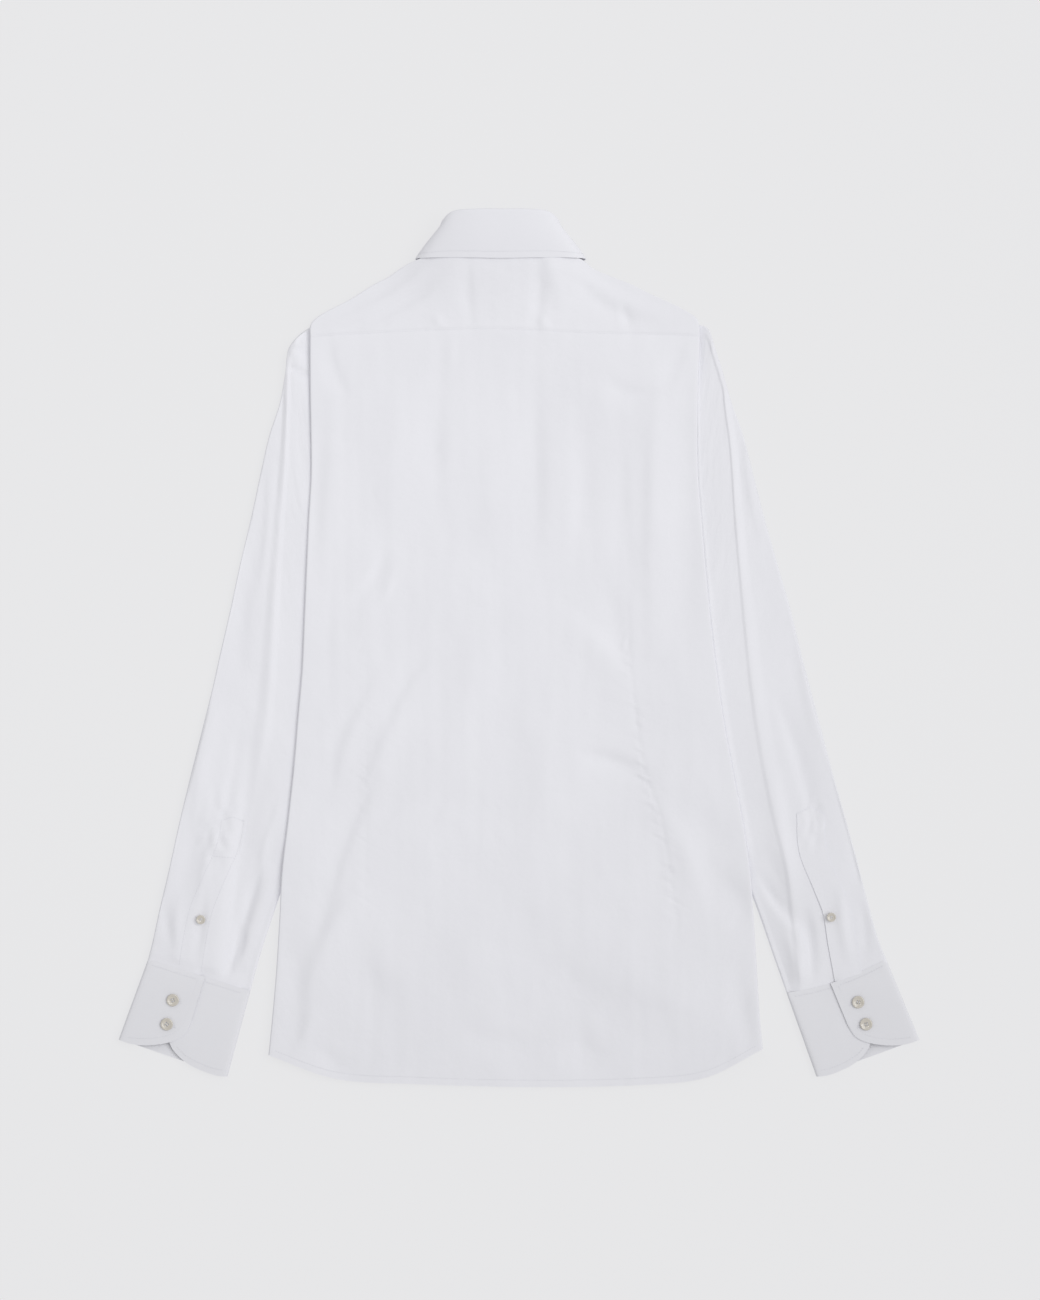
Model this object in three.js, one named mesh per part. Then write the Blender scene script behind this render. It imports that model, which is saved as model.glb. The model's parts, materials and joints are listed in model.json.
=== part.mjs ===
// Long sleeve dress shirt, buttoned and laid face down, in millimetres.
// +Z points up from the surface that it lies on, +Y from hem to collar.
// Every cloth piece is a wall between an outer skin, worked out section by
// section, and the same skin moved inward by the cloth's thickness.

import * as THREE from 'three';

// Driving dimensions

const CLOTH = 1.0;            // body and sleeve cloth
const COLLAR_CLOTH = 1.3;     // interlined neckband, leaf and cuffs
const SEAM_GAP = 0.35;        // between pieces that are sewn together
const SLEEVE_LOW = 4.4;       // height of the sleeve where the body lies on it
const SLEEVE_HIGH = 9.0;      // height of the sleeve's outer fold
const BODY_OVER_SLEEVE = 4.9; // underside of the body where it lies on a sleeve
const BODY_TOP = 9.4;         // height of the back
const NECK_RISE = 2.3;        // underside of the fronts over the collar leaf
const NECK_STRIP_RISE = 3.2;  // further rise of the yoke's front edge beside the neck
const LAP_STEP = 1.35;        // one front over the other
const COLLAR_X = -17;         // the collar sits left of the middle of the frame
const SEAM_Y = 296;           // yoke seam
const NECK_Y = 369;           // back neckline
const FRONT_NECK_Y = 288;     // front neckline
const FRONT_TOP_Y = 342;      // top of each front, at the shoulder seam
const ARMPIT_Y = 55;
const LAP = 17;               // half the width of the front lap
const BUTTON = 11.5;
const SMALL_BUTTON = 8.5;

// Tables, all in millimetres

const BODY_EDGE = [           // edges that show, down the body
  { y: 369, left: -79, right: 45 },
  { y: 365, left: -86, right: 51.5 },
  { y: 361, left: -97.5, right: 60.5 },
  { y: 354, left: -110.5, right: 69 },
  { y: 346, left: -122, right: 88 },
  { y: 339, left: -136, right: 106 },
  { y: 331, left: -148.5, right: 121.5 },
  { y: 324, left: -160, right: 137.5 },
  { y: 316, left: -176, right: 153.5 },
  { y: 309, left: -188, right: 164.5 },
  { y: 302, left: -194, right: 167.5 },
  { y: 291, left: -194.5, right: 168.3 },
  { y: 237, left: -194.4, right: 166.5 },
  { y: 167, left: -193.5, right: 166.5 },
  { y: 120, left: -196, right: 170 },
  { y: 74, left: -198, right: 174 },
  { y: 27, left: -200, right: 178.5 },
  { y: -19, left: -202, right: 184 },
  { y: -65, left: -206, right: 190.5 },
  { y: -112, left: -210, right: 199 },
  { y: -158, left: -215, right: 208 },
  { y: -205, left: -220.5, right: 215 },
  { y: -251, left: -223, right: 218.5 },
  { y: -298, left: -226, right: 221.5 },
  { y: -345, left: -230, right: 224.5 },
  { y: -380, left: -233.5, right: 228 },
];

const STRIP = [               // width turned under at each side
  { y: 330, width: 38 },
  { y: 318, width: 34 },
  { y: 300, width: 14 },
  { y: 285, width: 7 },
  { y: 150, width: 7 },
  { y: 115, width: 20 },
  { y: 75, width: 50 },
  { y: 50, width: 66 },
  { y: 20, width: 65 },
  { y: -65, width: 52 },
  { y: -158, width: 44 },
  { y: -251, width: 35 },
  { y: -380, width: 29 },
];

const SEAM_LINE = [           // yoke seam, dropping to the armholes
  { x: -200, y: 290.5 },
  { x: -100, y: 296 },
  { x: -17, y: 298 },
  { x: 60, y: 294.5 },
  { x: 175, y: 291.5 },
];

const HEM_LINE = [
  { x: -233.5, y: -377 },
  { x: -172, y: -399 },
  { x: -100, y: -404 },
  { x: 16, y: -407 },
  { x: 112, y: -405 },
  { x: 174, y: -398 },
  { x: 228, y: -371 },
];

const SLEEVE_LEFT = [         // one ring a row: outer end, inner end
  { ox: -194, oy: 301, ix: -134, iy: ARMPIT_Y },
  { ox: -206, oy: 292, ix: -135, iy: 48 },
  { ox: -215, oy: 279, ix: -137, iy: 40 },
  { ox: -218, oy: 256, ix: -139, iy: 30 },
  { ox: -223, oy: 229, ix: -142, iy: 18 },
  { ox: -233, oy: 198, ix: -145, iy: 6 },
  { ox: -241, oy: 163, ix: -149, iy: -8 },
  { ox: -250, oy: 121, ix: -154, iy: -25 },
  { ox: -260, oy: 79, ix: -159, iy: -42 },
  { ox: -269, oy: 37, ix: -165, iy: -62 },
  { ox: -278, oy: -2, ix: -172, iy: -83 },
  { ox: -287, oy: -42, ix: -179, iy: -106 },
  { ox: -297, oy: -82, ix: -187, iy: -130 },
  { ox: -307, oy: -122, ix: -196, iy: -156 },
  { ox: -317, oy: -164, ix: -207, iy: -186 },
  { ox: -326, oy: -205, ix: -219, iy: -218 },
  { ox: -335, oy: -243, ix: -231, iy: -253 },
  { ox: -341, oy: -271, ix: -241, iy: -284 },
  { ox: -345, oy: -287, ix: -250, iy: -317 },
];

const SLEEVE_RIGHT = [
  { ox: 168, oy: 303, ix: 116, iy: ARMPIT_Y },
  { ox: 177, oy: 298, ix: 117, iy: 48 },
  { ox: 183, oy: 280, ix: 119, iy: 40 },
  { ox: 190, oy: 258, ix: 122, iy: 30 },
  { ox: 198, oy: 230, ix: 126, iy: 18 },
  { ox: 209, oy: 199, ix: 130, iy: 6 },
  { ox: 219, oy: 160, ix: 135, iy: -8 },
  { ox: 229, oy: 121, ix: 140, iy: -25 },
  { ox: 241, oy: 79, ix: 146, iy: -42 },
  { ox: 253, oy: 37, ix: 153, iy: -62 },
  { ox: 262.5, oy: -2, ix: 161, iy: -83 },
  { ox: 273, oy: -42, ix: 169, iy: -106 },
  { ox: 283.5, oy: -82, ix: 178, iy: -130 },
  { ox: 294, oy: -122, ix: 188, iy: -156 },
  { ox: 306, oy: -164, ix: 200, iy: -186 },
  { ox: 317, oy: -205, ix: 213, iy: -218 },
  { ox: 327, oy: -243, ix: 226, iy: -253 },
  { ox: 335, oy: -271, ix: 237, iy: -285 },
  { ox: 341.5, oy: -287, ix: 249, iy: -319 },
];

const FOLD_LEFT = [           // lengthwise fold: higher outside, lower inside
  { y: 300, x: -214 },
  { y: 190, x: -217 },
  { y: 120, x: -222 },
  { y: 50, x: -227 },
  { y: -19, x: -231 },
  { y: -65, x: -235 },
  { y: -112, x: -243 },
  { y: -158, x: -251 },
  { y: -205, x: -264 },
  { y: -251, x: -272 },
  { y: -305, x: -278 },
];

const FOLD_RIGHT = [
  { y: 300, x: 189 },
  { y: 237, x: 191 },
  { y: 190, x: 197 },
  { y: 120, x: 202 },
  { y: 50, x: 208.5 },
  { y: -19, x: 215.5 },
  { y: -65, x: 221.5 },
  { y: -112, x: 229.5 },
  { y: -158, x: 239 },
  { y: -205, x: 250.5 },
  { y: -251, x: 256 },
  { y: -305, x: 262 },
];

const DART_LEFT = [
  { y: 300, x: -141 },
  { y: 14, x: -142 },
  { y: -256, x: -143 },
  { y: -410, x: -146 },
];

const DART_RIGHT = [
  { y: 300, x: 96 },
  { y: -3, x: 103 },
  { y: -114, x: 117 },
  { y: -154, x: 131 },
  { y: -251, x: 146 },
  { y: -410, x: 158 },
];

const DART_DEPTH = [          // a dart is stitched over its middle only
  { y: 60, depth: 0 },
  { y: 0, depth: 0.9 },
  { y: -120, depth: 1.4 },
  { y: -230, depth: 0.9 },
  { y: -275, depth: 0 },
];

const CREASES = [             // soft troughs (below 0) and ridges, end to end
  { x0: -73, y0: 262, x1: -76, y1: 130, width: 13, height: -1.5 },
  { x0: 10, y0: 240, x1: 12, y1: 110, width: 13, height: -1.5 },
  { x0: 66, y0: 245, x1: 64, y1: 100, width: 12, height: -1.1 },
  { x0: 128, y0: 240, x1: 134, y1: 0, width: 9, height: 1.3 },
  { x0: 149, y0: 240, x1: 153, y1: -10, width: 9, height: -1.1 },
  { x0: -150, y0: 110, x1: -146, y1: 0, width: 11, height: -1.1 },
  { x0: -92, y0: 0, x1: -176, y1: -240, width: 13, height: -1.3 },
  { x0: 35, y0: 74, x1: 114, y1: -70, width: 13, height: -1.3 },
  { x0: -60, y0: -300, x1: 60, y1: -330, width: 55, height: -1.4 },
  { x0: 190, y0: -180, x1: 186, y1: -290, width: 20, height: -1.1 },
  { x0: -46, y0: 365, x1: -44, y1: 296, width: 7, height: 1.4 },
  { x0: 20, y0: 365, x1: 17, y1: 296, width: 7, height: 1.4 },
];

const SLEEVE_CREASES = [
  { x0: -229, y0: -160, x1: -255, y1: -250, width: 6, height: -0.9 },
  { x0: 222, y0: 90, x1: 238, y1: -30, width: 8, height: -1.2 },
  { x0: 242, y0: -50, x1: 276, y1: -175, width: 8, height: -1.2 },
  { x0: -246, y0: 100, x1: -262, y1: -20, width: 9, height: -0.9 },
  { x0: -300, y0: -150, x1: -318, y1: -240, width: 10, height: -0.8 },
];

const COLLAR = [              // stations from the centre back to the centre front
  { sx: 0, sy: 369.5, sz: 25, fx: 0, fy: 404.9, fz: 31, lx: 0, ly: 362, lz: 29 },
  { sx: 26, sy: 369.5, sz: 24, fx: 24, fy: 404.9, fz: 30.5, lx: 26, ly: 362.5, lz: 28.4 },
  { sx: 46, sy: 369.5, sz: 20.5, fx: 42, fy: 403.4, fz: 28, lx: 50, ly: 363, lz: 26 },
  { sx: 52, sy: 369.5, sz: 17.5, fx: 50.5, fy: 397, fz: 23, lx: 69.5, ly: 363, lz: 21.5 },
  { sx: 55.4, sy: 369.5, sz: 16.2, fx: 53, fy: 390, fz: 18.5, lx: 79.5, ly: 365, lz: 10.5 },
  { sx: 65, sy: 359, sz: 10.6, fx: 53.5, fy: 381, fz: 13.5, lx: 76, ly: 358.5, lz: 3 },
  { sx: 65.5, sy: 342, sz: 7.2, fx: 51, fy: 366, fz: 9.4, lx: 74, ly: 328, lz: 0.2 },
  { sx: 52, sy: 316, sz: 6.4, fx: 40, fy: 344, fz: 6.6, lx: 67, ly: 298, lz: 0.1 },
  { sx: 30, sy: 297, sz: 6.2, fx: 23, fy: 327, fz: 5, lx: 53, ly: 271, lz: 0.1 },
  { sx: 3, sy: 289.5, sz: 6.2, fx: 3, fy: 319, fz: 4.4, lx: 38, ly: 249, lz: 0.1 },
];

const CUFF_ENDS = [           // sections around a cuff, from the upper end's free edge
  { across: 0.56, reach: 0.56, z: 9.1 },
  { across: 0.535, reach: 0.7, z: 9.1 },
  { across: 0.47, reach: 0.8, z: 9.1 },
  { across: 0.37, reach: 0.885, z: 9.1 },
  { across: 0.25, reach: 0.955, z: 9.0 },
  { across: 0.13, reach: 0.995, z: 8.6 },
  { across: 0.045, reach: 1, z: 7.4 },
  { across: 0.01, reach: 1, z: 5.6 },
  { across: 0.003, reach: 1, z: 3.2 },
  { across: 0.03, reach: 1, z: 0.7 },
  { across: 0.08, reach: 1, z: 0 },
  { across: 0.35, reach: 1, z: 0 },
  { across: 0.65, reach: 1, z: 0 },
  { across: 0.92, reach: 1, z: 0 },
  { across: 0.97, reach: 1, z: 0.7 },
  { across: 0.997, reach: 1, z: 2.6 },
  { across: 0.99, reach: 1.005, z: 4.8 },
  { across: 0.955, reach: 1.015, z: 6.4 },
  { across: 0.88, reach: 1.03, z: 7.3 },
  { across: 0.78, reach: 1.03, z: 7.4 },
  { across: 0.67, reach: 1.015, z: 7.4 },
  { across: 0.57, reach: 0.975, z: 7.4 },
  { across: 0.47, reach: 0.9, z: 7.4 },
  { across: 0.41, reach: 0.8, z: 7.4 },
  { across: 0.39, reach: 0.68, z: 7.4 },
];

// Cuff corners: outer and inner end of the seam, then of the lower edge.
const CUFFS = {
  left: {
    seam: [[-345, -287.3], [-250.1, -317.3]],
    edge: [[-372.8, -363], [-271.5, -397.5]],
    bow: 0,
  },
  right: {
    seam: [[341.5, -287.3], [249, -319.3]],
    edge: [[372.8, -363], [277, -397.5]],
    bow: -5,
  },
};

const GAUNTLETS = {           // free edge from the top of the slit to the cuff
  left: [[-253, -147], [-258, -182], [-272, -216], [-283, -244], [-289, -272], [-293.5, -302.5]],
  right: [[258.5, -147], [260.5, -187], [273, -220], [283, -246], [287.5, -274], [293.5, -306.5]],
};
const GAUNTLET_WIDTH = 25;

const VISIBLE_BUTTONS = [
  { name: 'cuff_button_left_1', x: -321.8, y: -326, z: 9.4, size: BUTTON },
  { name: 'cuff_button_left_2', x: -327.4, y: -348.3, z: 9.4, size: BUTTON },
  { name: 'cuff_button_right_1', x: 315.3, y: -327.8, z: 9.4, size: BUTTON },
  { name: 'cuff_button_right_2', x: 322.7, y: -348.3, z: 9.4, size: BUTTON },
  { name: 'gauntlet_button_left', x: -295.7, y: -251, z: 10.7, size: SMALL_BUTTON },
  { name: 'gauntlet_button_right', x: 290.2, y: -248.8, z: 10.7, size: SMALL_BUTTON },
];

// Small helpers

const clamp = (value, low, high) => Math.min(high, Math.max(low, value));
const lerp = (a, b, t) => a + (b - a) * t;

function ease(from, to, value) {
  const t = clamp((value - from) / (to - from), 0, 1);
  return t * t * (3 - 2 * t);
}

// A smooth curve through two columns of a table, held level past its ends.
function curve(rows, key, column) {
  const points = rows.map((row) => [row[key], row[column]]).sort((a, b) => a[0] - b[0]);
  const slopes = points.map((point, i) => {
    const before = points[Math.max(0, i - 1)];
    const after = points[Math.min(points.length - 1, i + 1)];
    return (after[1] - before[1]) / (after[0] - before[0]);
  });
  return (value) => {
    const last = points.length - 1;
    if (value <= points[0][0]) return points[0][1];
    if (value >= points[last][0]) return points[last][1];
    let i = 0;
    while (value > points[i + 1][0]) i += 1;
    const [x0, y0] = points[i];
    const [x1, y1] = points[i + 1];
    const step = x1 - x0;
    const t = (value - x0) / step;
    const blend = t * t * (3 - 2 * t);
    const straight = lerp(y0, y1, blend);
    const lean = slopes[i] * t * (1 - t) * (1 - t) - slopes[i + 1] * t * t * (1 - t);
    return straight + step * lean;
  };
}

const bodyLeft = curve(BODY_EDGE, 'y', 'left');
const bodyRight = curve(BODY_EDGE, 'y', 'right');
const sewnStrip = curve(STRIP, 'y', 'width');
const neckX = curve(COLLAR.slice(3), 'sy', 'sx');
const neckZ = curve(COLLAR.slice(5), 'sy', 'sz');
const middle = (y) => lerp(COLLAR_X, -4, ease(280, -380, y));
const seamY = curve(SEAM_LINE, 'x', 'y');
const hemY = curve(HEM_LINE, 'x', 'y');
const foldLeft = curve(FOLD_LEFT, 'y', 'x');
const foldRight = curve(FOLD_RIGHT, 'y', 'x');
const dartLeft = curve(DART_LEFT, 'y', 'x');
const dartRight = curve(DART_RIGHT, 'y', 'x');
const dartDepth = curve(DART_DEPTH, 'y', 'depth');
const innerLeft = curve(SLEEVE_LEFT, 'iy', 'ix');
const innerRight = curve(SLEEVE_RIGHT, 'iy', 'ix');

// Beside the neck the strip ends at the neckline.
function stripWidth(y, side) {
  const edge = side < 0 ? bodyLeft(y) : bodyRight(y);
  const toNeck = Math.max(4.5, Math.abs(edge - COLLAR_X) - neckX(y) - 1.5);
  return lerp(sewnStrip(y), toNeck, ease(334, 344, y));
}

function creaseHeight(creases, x, y) {
  let height = 0;
  for (const crease of creases) {
    const dx = crease.x1 - crease.x0;
    const dy = crease.y1 - crease.y0;
    const along = ((x - crease.x0) * dx + (y - crease.y0) * dy) / (dx * dx + dy * dy);
    const t = clamp(along, 0, 1);
    const away = Math.hypot(x - crease.x0 - t * dx, y - crease.y0 - t * dy);
    const taper = Math.sin(Math.PI * clamp(0.12 + 0.76 * t, 0, 1));
    height += crease.height * taper * Math.exp(-((away / crease.width) ** 2));
  }
  return height;
}

// Height of the back and yoke above the surface.
function bodyTop(x, y) {
  const fromLeft = x - bodyLeft(y);
  const fromRight = bodyRight(y) - x;
  const side = Math.exp(-((Math.min(fromLeft, fromRight) / 60) ** 2));
  const dx = (x - COLLAR_X) / 62;
  const dy = Math.max(0, NECK_Y + 4 - y) / 44;
  const neck = 15.8 * Math.exp(-(dx ** 4) * 0.45 - dy * dy);
  const dart = dartDepth(y);
  const grooveLeft = Math.exp(-(((x - dartLeft(y)) / 5) ** 2));
  const grooveRight = Math.exp(-(((x - dartRight(y)) / 5) ** 2));
  const level = BODY_TOP + 0.7 * side + neck - dart * (grooveLeft + grooveRight);
  return level + creaseHeight(CREASES, x, y);
}

// Underside of the body: raised over each sleeve, down to the surface between them.
function overSleeve(x, y) {
  const left = x - innerLeft(y);
  const right = innerRight(y) - x;
  return BODY_OVER_SLEEVE * (1 - ease(3, 27, Math.min(left, right)));
}

function stripUnder(x, y) {
  if (y > ARMPIT_Y) return BODY_OVER_SLEEVE + NECK_STRIP_RISE * ease(330, 360, y);
  return overSleeve(x, y);
}

// Extra rise of the fronts where the collar leaf lies below them.
function overLeaf(x, y) {
  const away = Math.abs(x - COLLAR_X);
  return NECK_RISE * ease(228, 242, y) * (1 - ease(96, 122, away));
}

// A closed wall from a grid of outer points. Rows run along the piece; the
// columns go round it and join up when it is a closed tube.
function wall(name, grid, thickness, closed) {
  const rows = grid.length;
  const columns = grid[0].length;
  const column = (i) => (closed ? (i + columns) % columns : clamp(i, 0, columns - 1));
  const outer = [];
  const inner = [];
  for (let j = 0; j < rows; j += 1) {
    for (let i = 0; i < columns; i += 1) {
      const across = grid[j][column(i + 1)].clone().sub(grid[j][column(i - 1)]);
      const along = grid[Math.min(rows - 1, j + 1)][i].clone().sub(grid[Math.max(0, j - 1)][i]);
      const normal = across.cross(along).normalize();
      const cloth = typeof thickness === 'function' ? thickness(j, i) : thickness;
      outer.push(grid[j][i].clone());
      inner.push(grid[j][i].clone().addScaledVector(normal, -cloth));
    }
  }
  return { name, rows, columns, closed, outer, inner };
}

function body(sheet, color, roughness) {
  const { name, rows, columns, closed, outer, inner } = sheet;
  const positions = [];
  for (const point of [...outer, ...inner]) positions.push(point.x, point.y, point.z);
  const shift = rows * columns;
  const index = [];
  const quad = (a, b, c, d) => index.push(a, b, c, a, c, d);
  const spans = closed ? columns : columns - 1;
  for (let j = 0; j < rows - 1; j += 1) {
    for (let i = 0; i < spans; i += 1) {
      const a = j * columns + i;
      const b = j * columns + ((i + 1) % columns);
      const c = (j + 1) * columns + ((i + 1) % columns);
      const d = (j + 1) * columns + i;
      quad(a, b, c, d);
      quad(shift + a, shift + d, shift + c, shift + b);
    }
  }
  for (let i = 0; i < spans; i += 1) {
    const next = (i + 1) % columns;
    const top = (rows - 1) * columns;
    quad(i, shift + i, shift + next, next);
    quad(top + i, top + next, shift + top + next, shift + top + i);
  }
  if (!closed) {
    for (let j = 0; j < rows - 1; j += 1) {
      const a = j * columns;
      const b = (j + 1) * columns;
      quad(a, b, shift + b, shift + a);
      quad(a + columns - 1, shift + a + columns - 1, shift + b + columns - 1, b + columns - 1);
    }
  }
  const geometry = new THREE.BufferGeometry();
  geometry.setAttribute('position', new THREE.Float32BufferAttribute(positions, 3));
  geometry.setIndex(index);
  geometry.computeVertexNormals();
  return mesh(name, geometry, color, roughness);
}

function mesh(name, geometry, color, roughness) {
  const material = new THREE.MeshStandardMaterial({ color, roughness, metalness: 0 });
  const result = new THREE.Mesh(geometry, material);
  result.name = name;
  return result;
}

const WHITE = 0xecebf0;

// A body section is a list of columns, each a function from a level to a point
// across the body: under strip, fold, the run across the top, fold, under strip.
function sideColumns(side) {
  const edgeAt = side < 0 ? bodyLeft : bodyRight;
  const inward = -side;
  const fold = (y) => {
    const x = edgeAt(y) + inward * 4;
    const low = stripUnder(x, y);
    const radius = (bodyTop(x, y) - low) / 2;
    return { low, radius, reach: Math.min(radius, 4) };
  };
  const strip = [1, 0.7, 0.38, 0.12].map((part) => (y) => {
    const { reach } = fold(y);
    const x = edgeAt(y) + inward * (reach + (stripWidth(y, side) - reach) * part);
    return [x, stripUnder(x, y)];
  });
  const round = [-62, -30, 0, 30, 62].map((degrees) => (y) => {
    const angle = THREE.MathUtils.degToRad(degrees);
    const { low, radius, reach } = fold(y);
    return [edgeAt(y) + inward * reach * (1 - Math.cos(angle)), low + radius * (1 + Math.sin(angle))];
  });
  return [...strip, ...round];
}

function topColumns() {
  const from = (y) => bodyLeft(y) + 4;
  const to = (y) => bodyRight(y) - 4;
  const grooveLeft = (y) => clamp(dartLeft(y), from(y) + 16, to(y) - 60);
  const grooveRight = (y) => clamp(dartRight(y), grooveLeft(y) + 60, to(y) - 16);
  const stops = [from];
  for (const t of [0.3, 0.6]) stops.push((y) => lerp(from(y), grooveLeft(y) - 7, t));
  for (const away of [-7, 0, 7]) stops.push((y) => grooveLeft(y) + away);
  for (let i = 1; i < 12; i += 1) {
    stops.push((y) => lerp(grooveLeft(y) + 7, grooveRight(y) - 7, i / 12));
  }
  for (const away of [-7, 0, 7]) stops.push((y) => grooveRight(y) + away);
  for (const t of [0.4, 0.7]) stops.push((y) => lerp(grooveRight(y) + 7, to(y), t));
  stops.push(to);
  return stops.map((stop) => (y) => [stop(y), bodyTop(stop(y), y)]);
}

const BODY_COLUMNS = [...sideColumns(-1), ...topColumns(), ...sideColumns(1).reverse()];

// Rows between an upper and a lower edge curve; a column is looked up at the
// level that it really has there.
function bodyRows(count, upper, lower) {
  const grid = [];
  for (let j = 0; j < count; j += 1) {
    const v = j / (count - 1);
    grid.push(BODY_COLUMNS.map((column) => {
      let y = lerp(upper(0), lower(0), v);
      for (let i = 0; i < 6; i += 1) y = lerp(upper(column(y)[0]), lower(column(y)[0]), v);
      const [x, z] = column(y);
      return new THREE.Vector3(x, y, z);
    }));
  }
  return grid.reverse();
}

function back() {
  const grid = bodyRows(27, (x) => seamY(x) - SEAM_GAP / 2, hemY);
  const hem = (j) => (j === 0 ? CLOTH + 0.5 : CLOTH);
  return body(wall('back', grid, hem, false), WHITE, 0.85);
}

function yoke() {
  const grid = bodyRows(8, () => NECK_Y, (x) => seamY(x) + SEAM_GAP / 2);
  return body(wall('yoke', grid, CLOTH, false), WHITE, 0.85);
}

// The collar: loops through the stations, from the left front round the back.

function collarLoop(x, y, z) {
  const points = COLLAR.map((row) => new THREE.Vector3(row[x], row[y], row[z]));
  const mirror = points.slice(1).reverse().map((point) => {
    return new THREE.Vector3(-point.x, point.y, point.z);
  });
  const path = new THREE.CatmullRomCurve3([...mirror, ...points], false, 'catmullrom', 0.5);
  const steps = (COLLAR.length - 1) * 4;
  const loop = [];
  const centre = new THREE.Vector3(COLLAR_X, 0, 0);
  for (let i = 0; i <= steps; i += 1) loop.push(path.getPoint(i / steps).add(centre));
  return loop;
}

function collarFrames() {
  const seam = collarLoop('sx', 'sy', 'sz');
  const fold = collarLoop('fx', 'fy', 'fz');
  const leaf = collarLoop('lx', 'ly', 'lz');
  return seam.map((point, i) => {
    const up = fold[i].clone().sub(point).normalize();
    const next = fold[Math.min(seam.length - 1, i + 1)];
    const before = fold[Math.max(0, i - 1)];
    const run = next.clone().sub(before).normalize();
    const out = run.clone().cross(up).normalize();
    const rise = out.clone().cross(run);
    return { seam: point, fold: fold[i], leaf: leaf[i], up, out, rise };
  });
}

// The neckband's ends lap at the front, the left one outside.
function collarStand() {
  const frames = collarFrames();
  const last = frames.length - 1;
  const grid = [0, 0.5, 1].map((t) => {
    const row = frames.map((frame, i) => {
      const start = frame.seam.clone().addScaledVector(frame.up, 0.5);
      const end = frame.fold.clone().addScaledVector(frame.rise, -1.3);
      const point = start.lerp(end, t).addScaledVector(frame.out, COLLAR_CLOTH / 2);
      point.z += 1.8 * ease(last - 6, last - 2, i);
      return point;
    });
    const left = row[0].clone().add(new THREE.Vector3(14, 0, 0));
    const right = row[last].clone().add(new THREE.Vector3(-14, 0, 0));
    return [left, ...row, right];
  });
  return body(wall('collar_stand', grid, COLLAR_CLOTH, false), WHITE, 0.8);
}

const ROLL = [                // the leaf's turn over the neckband's upper edge
  { up: -0.7, out: -0.7 },
  { up: 0.6, out: -0.55 },
  { up: 1.8, out: 0.3 },
  { up: 2.3, out: 1.5 },
  { up: 1.7, out: 2.8 },
  { up: 0, out: 3.5 },
];

function collarFall() {
  const frames = collarFrames();
  const grid = ROLL.map(({ up, out }) => frames.map((frame) => {
    const point = frame.fold.clone().addScaledVector(frame.rise, up);
    return point.addScaledVector(frame.out, out);
  }));
  for (const t of [0.25, 0.5, 0.75, 1]) {
    grid.push(frames.map((frame) => {
      const from = frame.fold.clone().addScaledVector(frame.out, 3.5);
      const bulge = 1.4 * Math.sin(Math.PI * t) * Math.max(frame.out.z, Math.abs(frame.out.x));
      return from.lerp(frame.leaf, t).addScaledVector(frame.out, bulge);
    }));
  }
  for (const row of grid) {
    for (const point of row) point.z = Math.max(0, point.z);
    row.reverse();
  }
  return body(wall('collar_fall', grid, COLLAR_CLOTH, false), WHITE, 0.8);
}

// Sleeves

function foldGap(ring, foldAt) {
  let low = 0;
  let high = 1;
  const side = Math.sign(ring.ix - ring.ox);
  for (let i = 0; i < 30; i += 1) {
    const t = (low + high) / 2;
    const x = lerp(ring.ox, ring.ix, t);
    const y = lerp(ring.oy, ring.iy, t);
    if ((x - foldAt(y)) * side < 0) low = t;
    else high = t;
  }
  return low;
}

function sleeveRing(ring, foldAt, share, bow) {
  const width = Math.hypot(ring.ix - ring.ox, ring.iy - ring.oy);
  const head = ease(0, 0.16, share);
  const crossing = Math.max(foldGap(ring, foldAt) * width, 9);
  const high = lerp(SLEEVE_LOW, SLEEVE_HIGH, head);
  const step = lerp(7, 3, head);
  const outer = high / 2;
  const innerEnd = SLEEVE_LOW / 2;
  const section = [];
  for (const degrees of [-50, 0, 40]) {
    const angle = THREE.MathUtils.degToRad(degrees);
    section.push([outer * (1 - Math.cos(angle)), outer * (1 + Math.sin(angle))]);
  }
  const ridge = Math.max(crossing - step * 0.4, outer + 1.5);
  for (const t of [0.04, 0.35, 0.7, 1]) section.push([lerp(outer, ridge, t), high]);
  section.push([ridge + step * 0.45, lerp(high, SLEEVE_LOW, 0.3)]);
  section.push([ridge + step, lerp(high, SLEEVE_LOW, 0.85)]);
  const foot = ridge + step * 1.7;
  for (const t of [0, 0.25, 0.5, 0.75, 1]) {
    section.push([lerp(foot, width - innerEnd, t), SLEEVE_LOW]);
  }
  for (const degrees of [40, 0, -50]) {
    const angle = THREE.MathUtils.degToRad(degrees);
    section.push([width - innerEnd * (1 - Math.cos(angle)), innerEnd * (1 + Math.sin(angle))]);
  }
  for (const t of [0.96, 0.72, 0.48, 0.24, 0.04]) {
    section.push([lerp(outer, width - innerEnd, t), 0]);
  }
  return section.map(([g, z]) => {
    const t = g / width;
    const x = lerp(ring.ox, ring.ix, t);
    const y = lerp(ring.oy, ring.iy, t) + bow * Math.sin(Math.PI * t);
    const onTop = z > SLEEVE_LOW - 0.5 && g > outer && g < width - innerEnd;
    const crease = onTop ? creaseHeight(SLEEVE_CREASES, x, y) : 0;
    return new THREE.Vector3(x, y, z + crease);
  });
}

function sleeve(name, rings, foldAt, bow, mirrored) {
  const grid = rings.map((ring, j) => {
    const share = j / (rings.length - 1);
    return sleeveRing(ring, foldAt, share, bow * ease(0.8, 1, share));
  });
  if (mirrored) for (const row of grid) row.reverse();
  return body(wall(name, grid.reverse(), CLOTH, true), WHITE, 0.85);
}

// Fronts. Each runs from its armhole or side seam to the lap at the centre.

const FRONT_LEVELS = [
  FRONT_TOP_Y, 334, 322, 308, 297, 291.5, 287, 270, 250, 236, 222, 190, 150, 110,
  75, 58, 48, 30, 8, -30, -75, -125, -180, -240, -300, -350, -384,
];

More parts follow.
